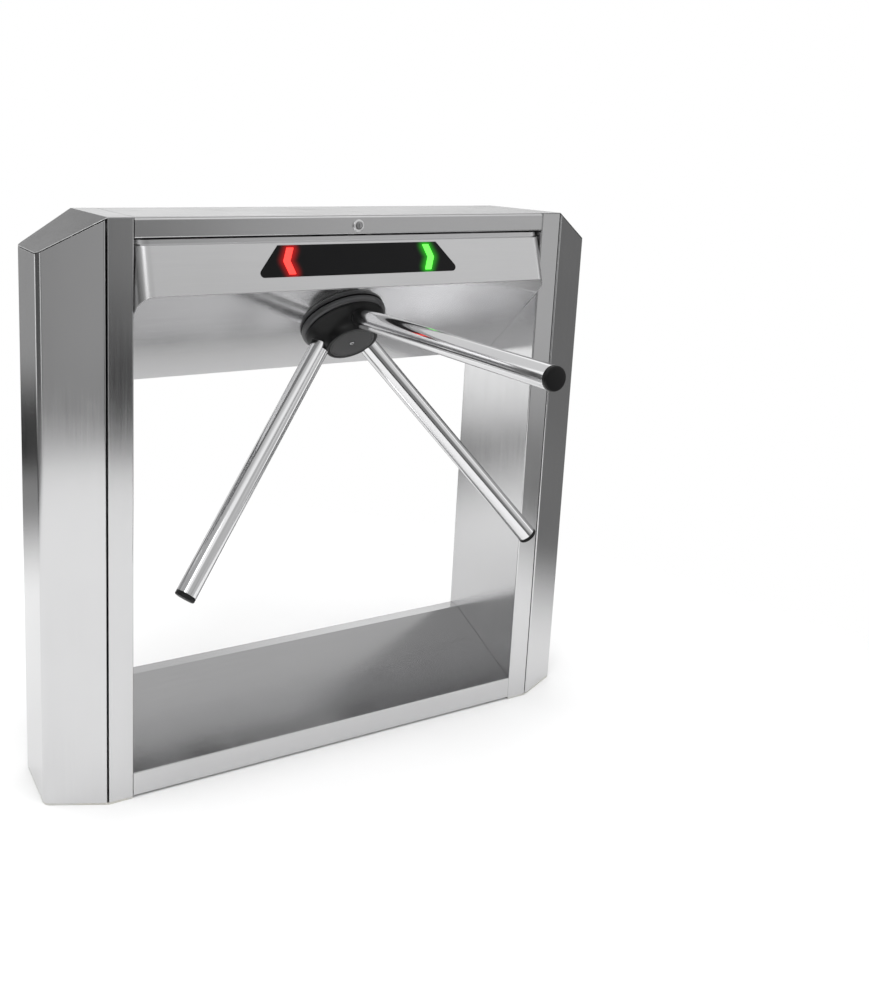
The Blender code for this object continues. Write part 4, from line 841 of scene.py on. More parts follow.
class Piece:
    """One piece of the visual model, from its mesh to its finish and the body it rides on."""

    def __init__(self, name: str, data: Mesh) -> None:
        """Make the object from a mesh, with its faces pointing out.

        Args:
            name: the piece's name.
            data: its closed mesh, which is used up.
        """
        bmesh.ops.recalc_face_normals(data, faces=data.faces)
        mesh = bpy.data.meshes.new(name)
        data.to_mesh(mesh)
        data.free()
        mesh.shade_smooth()
        self.obj = bpy.data.objects.new(name, mesh)
        bpy.context.scene.collection.objects.link(self.obj)

    def modify(self, kind: str, **settings: Any) -> "Piece":
        """Put a modifier on the piece.

        Args:
            kind: the modifier's type.
            settings: its properties.

        Returns:
            The piece.
        """
        step = self.obj.modifiers.new(kind.lower(), kind)
        for name, value in settings.items():
            setattr(step, name, value)
        return self

    def bake(self) -> "Piece":
        """Turn what the modifiers make into the piece's own mesh.

        Returns:
            The piece.
        """
        shape = self.obj.evaluated_get(bpy.context.evaluated_depsgraph_get())
        mesh = bpy.data.meshes.new_from_object(shape)
        self.obj.modifiers.clear()
        self.obj.data = mesh
        return self

    def melt(self, voxel: float, rounds: int) -> None:
        """Blend the piece's joins: remesh it in voxels and smooth it some rounds."""
        self.modify("REMESH", mode="VOXEL", voxel_size=voxel, use_smooth_shade=True).bake()
        self.modify("SMOOTH", factor=0.5, iterations=rounds).bake()

    def combine(self, tool: Mesh, join: Join) -> "Piece":
        """Add a tool body to the piece or cut it away.

        Args:
            tool: the tool body, in the piece's own coordinates.
            join: what to do with it.

        Returns:
            The piece.
        """
        guide = Piece("tool_body", tool)
        self.modify("BOOLEAN", object=guide.obj, operation=join.value, solver="EXACT")
        self.bake()
        bpy.data.objects.remove(guide.obj, do_unlink=True)
        return self

    def cut(self, tool: Mesh) -> "Piece":
        """Cut a tool body away."""
        return self.combine(tool, Join.CUT)

    def soften(self, width: float, segments: int = 2, angle: float = 28.0) -> "Piece":
        """Round the sharp edges and keep the flats flat.

        Args:
            width: the rounding's width.
            segments: its steps.
            angle: edges turn by at least this many degrees.

        Returns:
            The piece.
        """
        self.modify("BEVEL", width=width, segments=segments, limit_method="ANGLE",
                    angle_limit=math.radians(angle), use_clamp_overlap=True)
        return self.modify("WEIGHTED_NORMAL", mode="FACE_AREA", weight=60, keep_sharp=True)

    def set_in(self, matrix: Matrix, body: str, finish: Finish, *nodes: str) -> bpy.types.Object:
        """Put the piece in its place, on its body, with its finish.

        Args:
            matrix: its place in the row frame.
            body: the body it rides on.
            finish: its finish.
            nodes: the solids it stands for.

        Returns:
            The finished object.
        """
        self.obj.matrix_world = matrix
        self.obj.data.materials.clear()
        self.obj.data.materials.append(finish.material())
        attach(self.obj, body)
        if nodes:
            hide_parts(*nodes)
        log.info("%s rides on %s", self.obj.name, body)
        return self.obj


# Sub-assemblies


@dataclass(frozen=True)
class Cabinet:
    """Sizes that several sub-assemblies share, in metres."""

    height: float = 1.020
    length: float = 1.120
    depth: float = 0.216
    clear_span: float = 0.824
    strip_width: float = 0.044
    sheet: float = 0.0015
    fit: float = 0.0003
    bend: float = 0.0025
    seam_return: float = 0.012
    beak_reach: float = 0.030
    beak_height: float = 0.896
    fascia_corner: float = 0.026
    floor_height: float = 0.720
    back_skirt: float = 0.017
    lid_skirt: float = 0.034
    front: float = 0.1512

    @property
    def half_span(self) -> float:
        """Half the clear length between the posts."""
        return self.clear_span / 2

    @property
    def seam(self) -> float:
        """Distance from the middle to a post's seam."""
        return self.half_span + self.strip_width

    @property
    def end(self) -> float:
        """Distance from the middle to the cabinet's end."""
        return self.length / 2

    @property
    def place(self) -> Matrix:
        """The cabinet's drawing frame, whose XZ plane is the posts' front."""
        return Matrix.Translation((0.0, self.front, 0.0))


@dataclass
class Posts:
    """The two end posts: inner frame, end cover and top cap; the foot plate keeps its solid."""

    cabinet: Cabinet
    frame_steel: Finish
    cover_steel: Finish
    cap_steel: Finish
    zinc: Finish
    end_setback: float = 0.043
    cap_drop: float = 0.058
    seam_gap: float = 0.0025
    end_bend: float = 0.014
    foot: float = 0.004
    reveal: float = 0.0012

    def cap_height(self, x: float) -> float:
        """Height of the top surface at a distance x from the middle."""
        slope = self.cap_drop / (self.cabinet.end - self.cabinet.seam)
        return self.cabinet.height - max(0.0, abs(x) - self.cabinet.seam) * slope

    def end_corners(self, start: float) -> Line:
        """Plan corners of an end, from its front seam round to its back seam.

        Args:
            start: the seam's distance from the middle.

        Returns:
            The four corners.
        """
        end = self.cabinet.end
        back = self.cabinet.depth - self.end_setback
        return [Vector(p) for p in ((start, 0.0), (end, self.end_setback), (end, back),
                                    (start, self.cabinet.depth))]

    def post_frame(self, side: Side) -> Piece:
        """One post's folded frame: the front strip, the inner wall and the back strip.

        Args:
            side: which post.

        Returns:
            The piece.
        """
        box = self.cabinet
        path = [(box.seam, box.seam_return), (box.seam, 0.0), (box.half_span, 0.0),
                (box.half_span, box.depth), (box.seam, box.depth), (box.seam, box.depth - box.seam_return)]
        sides = sheet_sides(path, [box.bend] * 4, -box.sheet)
        top = box.height - box.sheet - box.fit
        data = upright_sheet(sides, side.value, self.foot + box.fit, lambda x: top)
        return Piece(f"{side.label}_post", data).soften(EDGE)

    def end_cover(self, side: Side) -> Piece:
        """The cover round one post's end, a little short of the cap so that the seam shows.

        Args:
            side: which post.

        Returns:
            The piece.
        """
        box = self.cabinet
        start = box.seam + self.seam_gap
        path = [(start, box.seam_return), *self.end_corners(start), (start, box.depth - box.seam_return)]
        sides = sheet_sides(path, [box.bend, self.end_bend, self.end_bend, box.bend], box.sheet, 12)
        gap = box.sheet + box.fit + self.reveal
        data = upright_sheet(sides, side.value, self.foot + box.fit, lambda x: self.cap_height(x) - gap)
        return Piece(f"{side.label}_cover", data).soften(EDGE)

    def top_cap(self, side: Side) -> Piece:
        """One cap: its flat strip and its slope, folded from one sheet.

        Args:
            side: which post.

        Returns:
            The piece.
        """
        box = self.cabinet
        slope = rounded_path(self.end_corners(box.seam), [self.end_bend] * 2, 12)
        strip = [Vector((box.half_span, 0.0)), slope[0], slope[-1], Vector((box.half_span, box.depth))]
        data = bmesh.new()
        made: dict[tuple[float, float, float], bmesh.types.BMVert] = {}

        def corner(point: Vector, down: float) -> bmesh.types.BMVert:
            """The cap's vertex over a plan point, on its top or under it.

            Args:
                point: the plan point.
                down: how far it lies under the top.

            Returns:
                The vertex.
            """
            key = (round(point.x, 6), round(point.y, 6), down)
            if key not in made:
                height = self.cap_height(point.x) - down
                made[key] = data.verts.new((side.value * point.x, point.y, height))
            return made[key]

        for outline in (strip, slope):
            data.faces.new([corner(p, 0.0) for p in outline])
            data.faces.new([corner(p, box.sheet) for p in outline])
        rim = [strip[3], strip[0], *slope]
        for start, end in zip(rim, [*rim[1:], rim[0]]):
            data.faces.new((corner(start, 0.0), corner(end, 0.0), corner(end, box.sheet),
                            corner(start, box.sheet)))
        return Piece(f"{side.label}_cap", data).soften(0.0006, 3, 20.0)

    def build(self) -> None:
        """Build and place both posts."""
        for side in Side:
            made = ((self.post_frame(side), self.frame_steel, "post_frame"),
                    (self.end_cover(side), self.cover_steel, "end_cover"),
                    (self.top_cap(side), self.cap_steel, "top_cap"))
            for piece, steel, node in made:
                piece.set_in(self.cabinet.place, "cabinet", steel, f"{side.label}_{node}")
            dress(self.zinc, f"{side.label}_foot_plate")


@dataclass
class BaseTray:
    """The folded tray that ties the posts at the floor: lip, slope and raised back ledge."""

    cabinet: Cabinet
    steel: Finish
    lip: float = 0.048
    ledge: float = 0.128
    ledge_width: float = 0.026
    turn_in: float = 0.016
    foot: float = 0.004

    def build(self) -> None:
        """Build and place the tray."""
        box = self.cabinet
        front = 2 * box.fit
        floor = self.foot + box.fit
        back = box.depth - front
        path = [(front + self.turn_in, floor), (front, floor), (front, self.lip),
                (back - self.ledge_width, self.ledge), (back, self.ledge), (back, floor),
                (back - self.turn_in, floor)]
        tray = Piece("tray", level_sheet(path, [box.bend] * 5, box.half_span - box.fit))
        tray.soften(EDGE).set_in(box.place, "cabinet", self.steel, "base_tray")


@dataclass
class UpperHousing:
    """The hub plate with the housing's floor, the leaning fascia and the back sheet."""

    cabinet: Cabinet
    plate_steel: Finish
    fascia_steel: Finish
    back_steel: Finish
    top_reach: float = 0.005
    top_height: float = 0.974
    ledge_height: float = 0.983
    ledge_setback: float = 0.002
    side_flange: float = 0.034
    top_flange: float = 0.030
    back_flange: float = 0.025
    back_gap: float = 0.002
    shaft_hole: float = 0.0167
    hole_reach: float = 0.06
    cam_notch: tuple[float, float, float] = (-0.010, 0.028, 0.0195)
    crease: tuple[float, float] = (0.0008, 0.0016)
    crease_bends: tuple[float, float] = (0.0014, 0.0009)
    window_gap: float = 0.0004

    @property
    def face(self) -> Matrix:
        """The leaning face's own frame: X along the cabinet, Y up the lean, Z outward.

        Returns:
            The frame.
        """
        box = self.cabinet
        lean = math.atan2(self.top_height - box.beak_height, box.beak_reach - self.top_reach)
        return tilted((0.0, -box.beak_reach, box.beak_height), math.degrees(lean))

    def half_width(self, depth: float) -> float:
        """Half the plate's width at a depth, inside the fascia's round ends and flanges.

        Args:
            depth: the depth behind the posts' front.

        Returns:
            Half the width there.
        """
        box = self.cabinet
        half = box.half_span - box.fit
        if depth > self.side_flange:
            return half
        wrap = box.fascia_corner - box.sheet - box.fit
        drop = min(max(box.fascia_corner - box.beak_reach - depth, 0.0), wrap)
        return half - box.fascia_corner + math.sqrt(wrap ** 2 - drop ** 2)

    def hub_plate(self) -> Piece:
        """The sloped plate, the floor and the back flange, folded from one sheet.

        Returns:
            The piece.
        """
        box = self.cabinet
        fold = box.beak_height - box.beak_reach - box.floor_height
        back = box.depth - box.sheet - box.fit
        edge = box.sheet + box.fit
        wrap = box.fascia_corner - edge
        runs = [edge + wrap * (1 - math.cos(math.pi / 2 * step / CURVE)) for step in range(CURVE + 1)]
        runs += [box.beak_reach + self.side_flange + step for step in (0.0, box.fit)]
        slope = [Vector((-box.beak_reach + run, box.beak_height - run)) for run in runs]
        path = [*slope, Vector((fold, box.floor_height)), Vector((back, box.floor_height)),
                Vector((back, box.floor_height + self.back_flange))]
        outer = path[:len(slope)] + rounded_path(path[len(slope) - 1:], [box.bend] * 2)[1:]
        lifted = offset_path(path, box.sheet)
        inner = lifted[:len(slope)] + rounded_path(lifted[len(slope) - 1:], [box.bend - box.sheet] * 2)[1:]
        widths = [self.half_width(point.x) for point in outer]
        levels = [tuple([(sign * w, p.x, p.y) for p, w in zip(line, widths)] for line in (outer, inner))
                  for sign in (-1, 1)]
        plate = Piece("hub_mounting_plate", lofted_sheet(levels))
        axis = box.place.inverted() @ Rotor.world_axis()
        plate.cut(cylinder(self.shaft_hole, -self.hole_reach, 0.0, 64, axis))
        return plate.soften(EDGE)

    def level(self, front: float, height: float) -> tuple[list[Point], list[Point]]:
        """The fascia's plan line at one height.

        Args:
            front: the depth of its front there.
            height: the height.

        Returns:
            The outer and the inner line in space.
        """
        box = self.cabinet
        half = box.half_span - box.fit
        path = [(-half, self.side_flange), (-half, front), (half, front), (half, self.side_flange)]
        outer, inner = sheet_sides(path, [box.fascia_corner] * 2, box.sheet, CURVE)
        return [(p.x, p.y, height) for p in outer], [(p.x, p.y, height) for p in inner]

    def fascia(self, sign: "Sign") -> Piece:
        """The leaning front with its round ends, its set-back ledge and the display's window.

        Its lower edge lies in the hub plate's plane, also round the ends.

        Args:
            sign: the display that sits in the window.

        Returns:
            The piece.
        """
        box = self.cabinet
        ends = self.level(-box.beak_reach, box.beak_height)
        foot = tuple([(p[0], p[1], p[2] - p[1] - box.beak_reach) for p in line] for line in ends)
        profile = rounded_path([(-box.beak_reach, box.beak_height), (-self.top_reach, self.top_height),
                                (self.ledge_setback - self.crease[0], self.top_height + self.crease[1]),
                                (self.ledge_setback, self.ledge_height)], self.crease_bends, 5)
        levels = [foot, *(self.level(p.x, p.y) for p in profile[1:])]
        piece = Piece("front_fascia", lofted_sheet(levels))
        end = box.half_span - box.fascia_corner
        front = self.ledge_setback + box.sheet / 2
        left, right, deep = self.cam_notch
        lip = [(-end, front), (end, front), (end, self.top_flange), (right, self.top_flange), (right, deep),
               (left, deep), (left, self.top_flange), (-end, self.top_flange)]
        piece.combine(prism(lip, self.ledge_height - box.sheet, self.ledge_height), Join.ADD)
        window = prism(sign.outline(self.window_gap), -REACH, REACH)
        bmesh.ops.transform(window, matrix=self.face, verts=window.verts)
        piece.cut(window)
        return piece.soften(0.0007, 3, 25.0)

    def back(self) -> Piece:
        """The back sheet with its turned-in top.

        Returns:
            The piece.
        """
        box = self.cabinet
        top = box.height - box.back_skirt - self.back_gap
        path = [(box.depth - box.seam_return, top), (box.depth, top),
                (box.depth, box.floor_height + box.fit)]
        data = level_sheet(path, [box.bend], box.half_span - box.fit)
        return Piece("housing_rear_sheet", data).soften(EDGE)

    def build(self, sign: "Sign") -> None:
        """Build and place the housing's sheets, with a window for the display.

        Args:
            sign: the display that sits in the fascia.
        """
        place = self.cabinet.place
        self.hub_plate().set_in(place, "cabinet", self.plate_steel, "hub_plate")
        self.fascia(sign).set_in(place, "cabinet", self.fascia_steel, "fascia")
        self.back().set_in(place, "cabinet", self.back_steel, "housing_back")


@dataclass
class Sign:
    """The glass display with its stop and go chevrons; its board keeps its solid."""

    glass: Finish
    stop: Finish
    go: Finish
    board: Finish
    arrows: ArrowShape
    top_width: float = 0.322
    bottom_width: float = 0.412
    height: float = 0.054
    rise: float = 0.0235
    corner: float = 0.007
    top_corner: float = 0.0015
    arrow_corner: float = 0.0016
    lens_gap: float = 0.0003
    thickness: float = 0.004
    proud: float = 0.0005

    def outline(self, grow: float = 0.0) -> Line:
        """The glass's outline, or one that is larger all round by grow.

        Args:
            grow: how much larger it is all round.

        Returns:
            The outline.
        """
        bottom = self.rise - grow
        top = self.rise + self.height + grow
        # The slanted ends move out more at their sharp lower corners than at the blunt upper ones.
        low = self.bottom_width / 2 + 1.6 * grow
        high = self.top_width / 2 + 0.7 * grow
        radii = [self.corner + grow] * 2 + [self.top_corner + grow] * 2
        return closed_outline([(-low, bottom), (low, bottom), (high, top), (-high, top)], radii)

    def arrow(self, side: Side, shrink: float = 0.0) -> Line:
        """One chevron's outline, which points outward.

        Args:
            side: the left or the right one.
            shrink: how much smaller it is all round.

        Returns:
            The outline.
        """
        form = self.arrows
        half = form.height / 2 - shrink
        near = form.offset - form.width / 2 + shrink
        far = form.offset + form.width / 2 - shrink
        points = [(near, form.middle - half), (far, form.middle - half), (far + form.point, form.middle),
                  (far, form.middle + half), (near, form.middle + half), (near + form.point, form.middle)]
        outline = [Vector((side.value * x, y)) for x, y in points]
        outline = outline if side is Side.RIGHT else outline[::-1]
        return closed_outline(outline, [self.arrow_corner - shrink] * 6, 5)

    def build(self, housing: UpperHousing) -> None:
        """Build and place the glass and both chevrons in the housing's face.

        Args:
            housing: the housing whose face it sits in.
        """
        place = housing.cabinet.place @ housing.face
        low = self.proud - self.thickness
        holes = [self.arrow(side) for side in Side]
        pane = Piece("display_pane", prism(self.outline(), low, self.proud, holes))
        pane.soften(0.00035, 2, 40.0).set_in(place, "cabinet", self.glass, "display_glass")
        for side, light, node in ((Side.LEFT, self.stop, "stop_arrow_lens"),
                                  (Side.RIGHT, self.go, "go_arrow_lens")):
            form = prism(self.arrow(side, self.lens_gap), low, self.proud)
            lens = Piece(node.replace("lens", "light"), form)
            lens.soften(EDGE, 2, 40.0).set_in(place, "cabinet", light, node)
        dress(self.board, "indicator_board")


@dataclass
class Lid:
    """The hinged lid with its cam lock; the hinge keeps its solids."""

    cabinet: Cabinet
    steel: Finish
    chrome: Finish
    plug_chrome: Finish
    machined: Finish
    zinc: Finish
    top_bend: float = 0.006
    end_gap: float = 0.0008
    lock_height: float = 1.001
    rim: float = 0.011
    rim_thickness: float = 0.0025
    barrel: float = 0.0095
    barrel_length: float = 0.022
    plug: float = 0.0065
    tail: float = 0.004
    tail_run: float = 0.0035
    dome: float = 0.0014
    key_slot: tuple[float, float] = (0.0014, 0.0075)

    def sheet(self) -> Piece:
        """The folded lid, with the lock's hole in its front skirt.

        Returns:
            The piece.
        """
        box = self.cabinet
        low = box.height - box.lid_skirt
        path = [(box.seam_return, low), (0.0, low), (0.0, box.height), (box.depth, box.height),
                (box.depth, box.height - box.back_skirt)]
        bends = [box.bend, self.top_bend, box.bend]
        lid = Piece("top_lid", level_sheet(path, bends, box.half_span - self.end_gap, 10))
        seat = tilted((0.0, 0.0, self.lock_height), 90.0)
        lid.cut(cylinder(self.barrel + box.fit, -REACH, REACH, 48, seat))
        return lid.soften(0.00035)

    def lock(self) -> tuple[Piece, Piece]:
        """The lock's barrel with its domed rim, and the plug with its key slot.

        Returns:
            Both pieces, drawn with Z into the cabinet.
        """
        fit = self.cabinet.fit
        face = -self.rim_thickness - fit
        bore = self.plug + fit
        dome = quarter((self.rim - self.dome, face + self.dome), self.dome, -90.0, 0.0)
        barrel = [(bore, face + 0.0004), (bore + 0.0004, face), *dome, (self.rim, -fit), (self.barrel, -fit),
                  (self.barrel, self.barrel_length), (bore, self.barrel_length)]
        cam_end = self.barrel_length + fit + self.tail_run
        plug = [(0.0, face - fit), (self.plug - 0.0005, face - fit), (self.plug, face + 0.0002),
                (self.plug, self.barrel_length), (self.tail, self.barrel_length), (self.tail, cam_end),
                (0.0, cam_end)]
        core = Piece("lock_key_plug", turned(plug, 48))
        wide, tall = self.key_slot
        slot = prism(rectangle(-wide / 2, -tall / 2, wide / 2, tall / 2), face - REACH, face + REACH)
        core.cut(slot).soften(0.00012, 1, 50.0)
        return Piece("lock_rim", turned(barrel, 64)).soften(0.00015, 1, 50.0), core

    def build(self) -> None:
        """Build and place the lid and its lock."""
        box = self.cabinet
        self.sheet().set_in(box.place, "lid", self.steel, "lid")
        rim, core = self.lock()
        axis = box.place @ tilted((0.0, 0.0, self.lock_height), -90.0)
        rim.set_in(axis, "lid", self.chrome, "lock_barrel")
        core.set_in(axis, "lock", self.plug_chrome, "lock_plug")
        dress(self.zinc, "lock_nut", "lock_keeper", "back_hinge_leaf", "lid_hinge_leaf")
        dress(self.machined, "lock_cam", "hinge_pin")


@dataclass
class Rotor:
    """Hub and arms, drawn with Z from where the arms' axes meet into the housing."""

    flange_black: Finish
    hub_black: Finish
    cap_black: Finish
    arm_black: Finish
    tube: Finish
    screw_steel: Finish
    flange_level: float = 0.022713
    flange_radius: float = 0.080
    flange_thickness: float = 0.0110
    flange_edges: tuple[float, float] = (0.0006, 0.0070)
    bore: float = 0.014
    base_radius: float = 0.0755
    base_land: float = 0.0030
    nose_land: float = 0.0020
    groove: float = 0.0016
    groove_radius: float = 0.0715
    nose_level: float = 0.072013
    nose_radius: float = 0.0485
    waist_curve: float = 2.5
    rough_rear: float = 0.016
    rough_nose: float = 0.012
    lip: float = 0.0199
    flare: float = 0.010
    flare_start: float = 0.048
    socket_end: float = 0.0755
    seat_gap: float = 0.0010
    cap_radius: float = 0.0425
    cap_thickness: float = 0.0025
    ring_inset: float = 0.004
    screw: float = 0.0042
    screw_end: float = -0.0643
    hexagon: float = 0.0023
    arm_radius: float = 0.018
    arm_wall: float = 0.0015
    arm_reach: float = 0.582
    arm_start: float = 0.068
    arm_cap: float = 0.008
    arm_edge: float = 0.0025
    plug_depth: float = 0.022
    fit: float = 0.0003
    turns: dict[str, float] = field(default_factory=lambda: {"front": 0.0, "left": -120.0, "right": 120.0})

    @staticmethod
    def world_axis() -> Matrix:
        """The rotor's frame in the row frame."""
        return tilted(ARMS_MEET, AXIS_TILT)

    def arm_matrix(self, label: str) -> Matrix:
        """An arm's own frame in the rotor's frame, with Z along the arm.

        Args:
            label: which arm.

        Returns:
            The frame.
        """
        turn = math.radians(self.turns[label])
        tilt = math.sqrt(0.5)
        way = Vector((tilt * math.sin(turn), -tilt * math.cos(turn), -tilt))
        return way.to_track_quat("Z", "X").to_matrix().to_4x4()

    @property
    def base(self) -> float:
        """Z of the hub's face on the flange."""
        return -self.flange_level - self.flange_thickness - self.fit

    @property
    def nose(self) -> float:
        """Z of the hub's front face."""
        return -self.nose_level

    def flange(self) -> Piece:
        """The thick disc behind the hub, with its round rim.

        Returns:
            The piece.
        """
        low = -self.flange_level
        front = low - self.flange_thickness
        rim = self.flange_radius
        thin, wide = self.flange_edges
        edge = quarter((rim - thin, low - thin), thin, 90.0, 0.0, 3)
        nose = quarter((rim - wide, front + wide), wide, 0.0, -90.0, 14)
        return Piece("hub_backing_disc", turned([(self.bore, low), *edge, *nose, (self.bore, front)], ROUND))

    def horn(self) -> list[Point]:
        """Profile of one arm's socket, which widens like a horn into the body.

        Returns:
            The profile's points.
        """
        span = self.socket_end - self.flare_start
        sides = []
        for step in range(CURVE + 1):
            share = 1 - step / CURVE
            sides.append((self.lip + self.flare * share ** 2, self.socket_end - span * share))
        return [(0.0, self.flare_start), *sides, (0.0, self.socket_end)]

    def body(self) -> Piece:
        """The dished hub, whose three flared sockets end at the nose's plane.

        Returns:
            The piece.
        """
        base, nose = self.base, self.nose
        wide = self.arm_reach / 4
        span = self.base_radius - self.nose_radius
        run = base - self.base_land - nose - self.nose_land
        waist = []
        for step in range(CURVE + 1):
            share = step / CURVE
            radius = self.nose_radius + span * (1 - share) ** self.waist_curve
            waist.append((radius, base - self.base_land - run * share))
        rear, tip = base + self.rough_rear, nose - self.rough_nose
        profile = [(0.0, rear), (self.base_radius, rear), *waist, (self.nose_radius, tip), (0.0, tip)]
        hub = Piece("arm_hub", turned(profile, ROUND))
        for label in self.turns:
            hub.combine(turned(self.horn(), 72, self.arm_matrix(label)), Join.ADD)
        # The joins are blended while the body is longer than it will be, so that its ends stay flat.
        hub.melt(0.0012, 10)
        hub.cut(cylinder(wide, nose - wide, nose, 32))
        hub.melt(0.0010, 4)
        hub.cut(cylinder(wide, base, base + wide, 32))
        low = base - self.groove
        high = base + self.groove
        ring = [(self.groove_radius, low), (wide, low), (wide, high), (self.groove_radius, high)]
        hub.cut(turned(ring, ROUND))
        seat = self.cap_radius + self.seat_gap
        hub.cut(cylinder(seat, nose - wide, nose + self.cap_thickness, 96))
        hub.cut(cylinder(self.bore, nose - wide, base + wide, 64))
        for label in self.turns:
            along = self.arm_matrix(label)
            bore = cylinder(self.arm_radius + self.fit, self.arm_start - self.fit, wide, 96, along)
            hub.cut(bore)
        return hub

    def cap(self) -> Piece:
        """The disc in the hub's nose, with its ring line.

        Returns:
            The piece.
        """
        under = self.nose + self.cap_thickness - self.fit
        rim = self.cap_radius
        groove = rim - self.ring_inset
        edge = quarter((rim - 0.0010, self.nose + 0.0010), 0.0010, 0.0, -90.0, 5)
        face = [(groove, self.nose), (groove - 0.0003, self.nose + 0.0006),
                (groove - 0.0005, self.nose + 0.0006), (groove - 0.0008, self.nose)]
        bore = self.screw + self.fit
        profile = [(bore, under), (rim, under), *edge, *face, (bore + 0.0013, self.nose),
                   (bore + 0.0004, self.nose + 0.0011)]
        return Piece("hub_cap_disc", turned(profile, ROUND)).soften(0.00015, 1, 35.0)

    def centre_screw(self) -> Piece:
        """The screw in the middle of the cap, with a hexagon socket.

        Returns:
            The piece.
        """
        head = self.nose - 0.0006
        top = quarter((self.screw - 0.001, head + 0.001), 0.001, -90.0, 0.0, 4)
        profile = [(0.0, head), *top, (self.screw, self.screw_end), (0.0, self.screw_end)]
        recess = prism(circle(self.hexagon, 6), head - 0.002, head + 0.0025)
        screw = Piece("hub_centre_screw", turned(profile, 48)).cut(recess)
        return screw.soften(0.0001, 1, 50.0)

    def arm_tube(self, label: str) -> Piece:
        """One arm's tube, with its ends' edges broken.

        Args:
            label: which arm.

        Returns:
            The piece.
        """
        end = self.arm_reach - self.arm_cap - self.fit
        wide, thin = self.arm_radius, self.arm_radius - self.arm_wall
        edge = 0.0003
        profile = [(thin, self.arm_start), (wide - edge, self.arm_start), (wide, self.arm_start + edge),
                   (wide, end - edge), (wide - edge, end), (thin, end)]
        return Piece(f"{label}_arm_tube", turned(profile, 96)).modify("WEIGHTED_NORMAL", weight=60)

    def arm_plug(self, label: str) -> Piece:
        """One arm's end cap, with a round edge and a slightly domed face.

        Args:
            label: which arm.

        Returns:
            The piece.
        """
        wide = self.arm_radius
        inner = wide - self.arm_wall - self.fit
        face = self.arm_reach - self.arm_cap
        edge = self.arm_edge
        crown = 0.0006
        round_edge = quarter((wide - edge, self.arm_reach - crown - edge), edge, 0.0, 80.0, 8)
        deep = face - self.plug_depth
        profile = [(0.0, deep), (inner, deep), (inner, face), (wide, face), *round_edge,
                   (wide * 0.55, self.arm_reach - crown * 0.35), (0.0, self.arm_reach)]
        return Piece(f"{label}_arm_end", turned(profile, 72))

    def build(self) -> None:
        """Build and place the hub and the three arms."""
        axis = self.world_axis()
        for make, finish, node in ((self.flange, self.flange_black, "hub_flange"),
                                   (self.body, self.hub_black, "hub_body"),
                                   (self.cap, self.cap_black, "hub_cap"),
                                   (self.centre_screw, self.screw_steel, "hub_screw")):
            make().set_in(axis, "rotor", finish, node)
        for label in self.turns:
            place = axis @ self.arm_matrix(label)
            self.arm_tube(label).set_in(place, "rotor", self.tube, f"{label}_arm")
            self.arm_plug(label).set_in(place, "rotor", self.arm_black, f"{label}_arm_cap")


@dataclass
class Mechanism:
    """The gear in the housing, which keeps its solids and gets its finishes."""

    machined: Finish
    hardened: Finish
    zinc: Finish
    black: Finish
    board: Finish

    def build(self) -> None:
        """Dress every solid inside the housing."""
        dress(self.machined, "main_shaft", "damper_gear", "damper_pinion", "front_bearing", "rear_bearing",
              "lever_roller", "left_plunger", "right_plunger", "lever_spring")
        dress(self.hardened, "index_cam", "lock_disc", "left_pawl", "right_pawl")
        dress(self.zinc, "mechanism_plate", "bearing_housing", "shaft_nut", "centring_lever",
              "left_solenoid", "right_solenoid", "power_supply")
        dress(self.black, "encoder_disc", "damper_body")
        dress(self.board, "control_board", "encoder_board")


def dress(finish: Finish, *nodes: str) -> None:
    """Give the named carried-over solids their finish.

    Args:
        finish: the finish.
        nodes: the solids' names.
    """
    for name in nodes:
        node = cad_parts[name]
        node.data.materials.clear()
        node.data.materials.append(finish.material())
        log.info("%s keeps its solid", name)


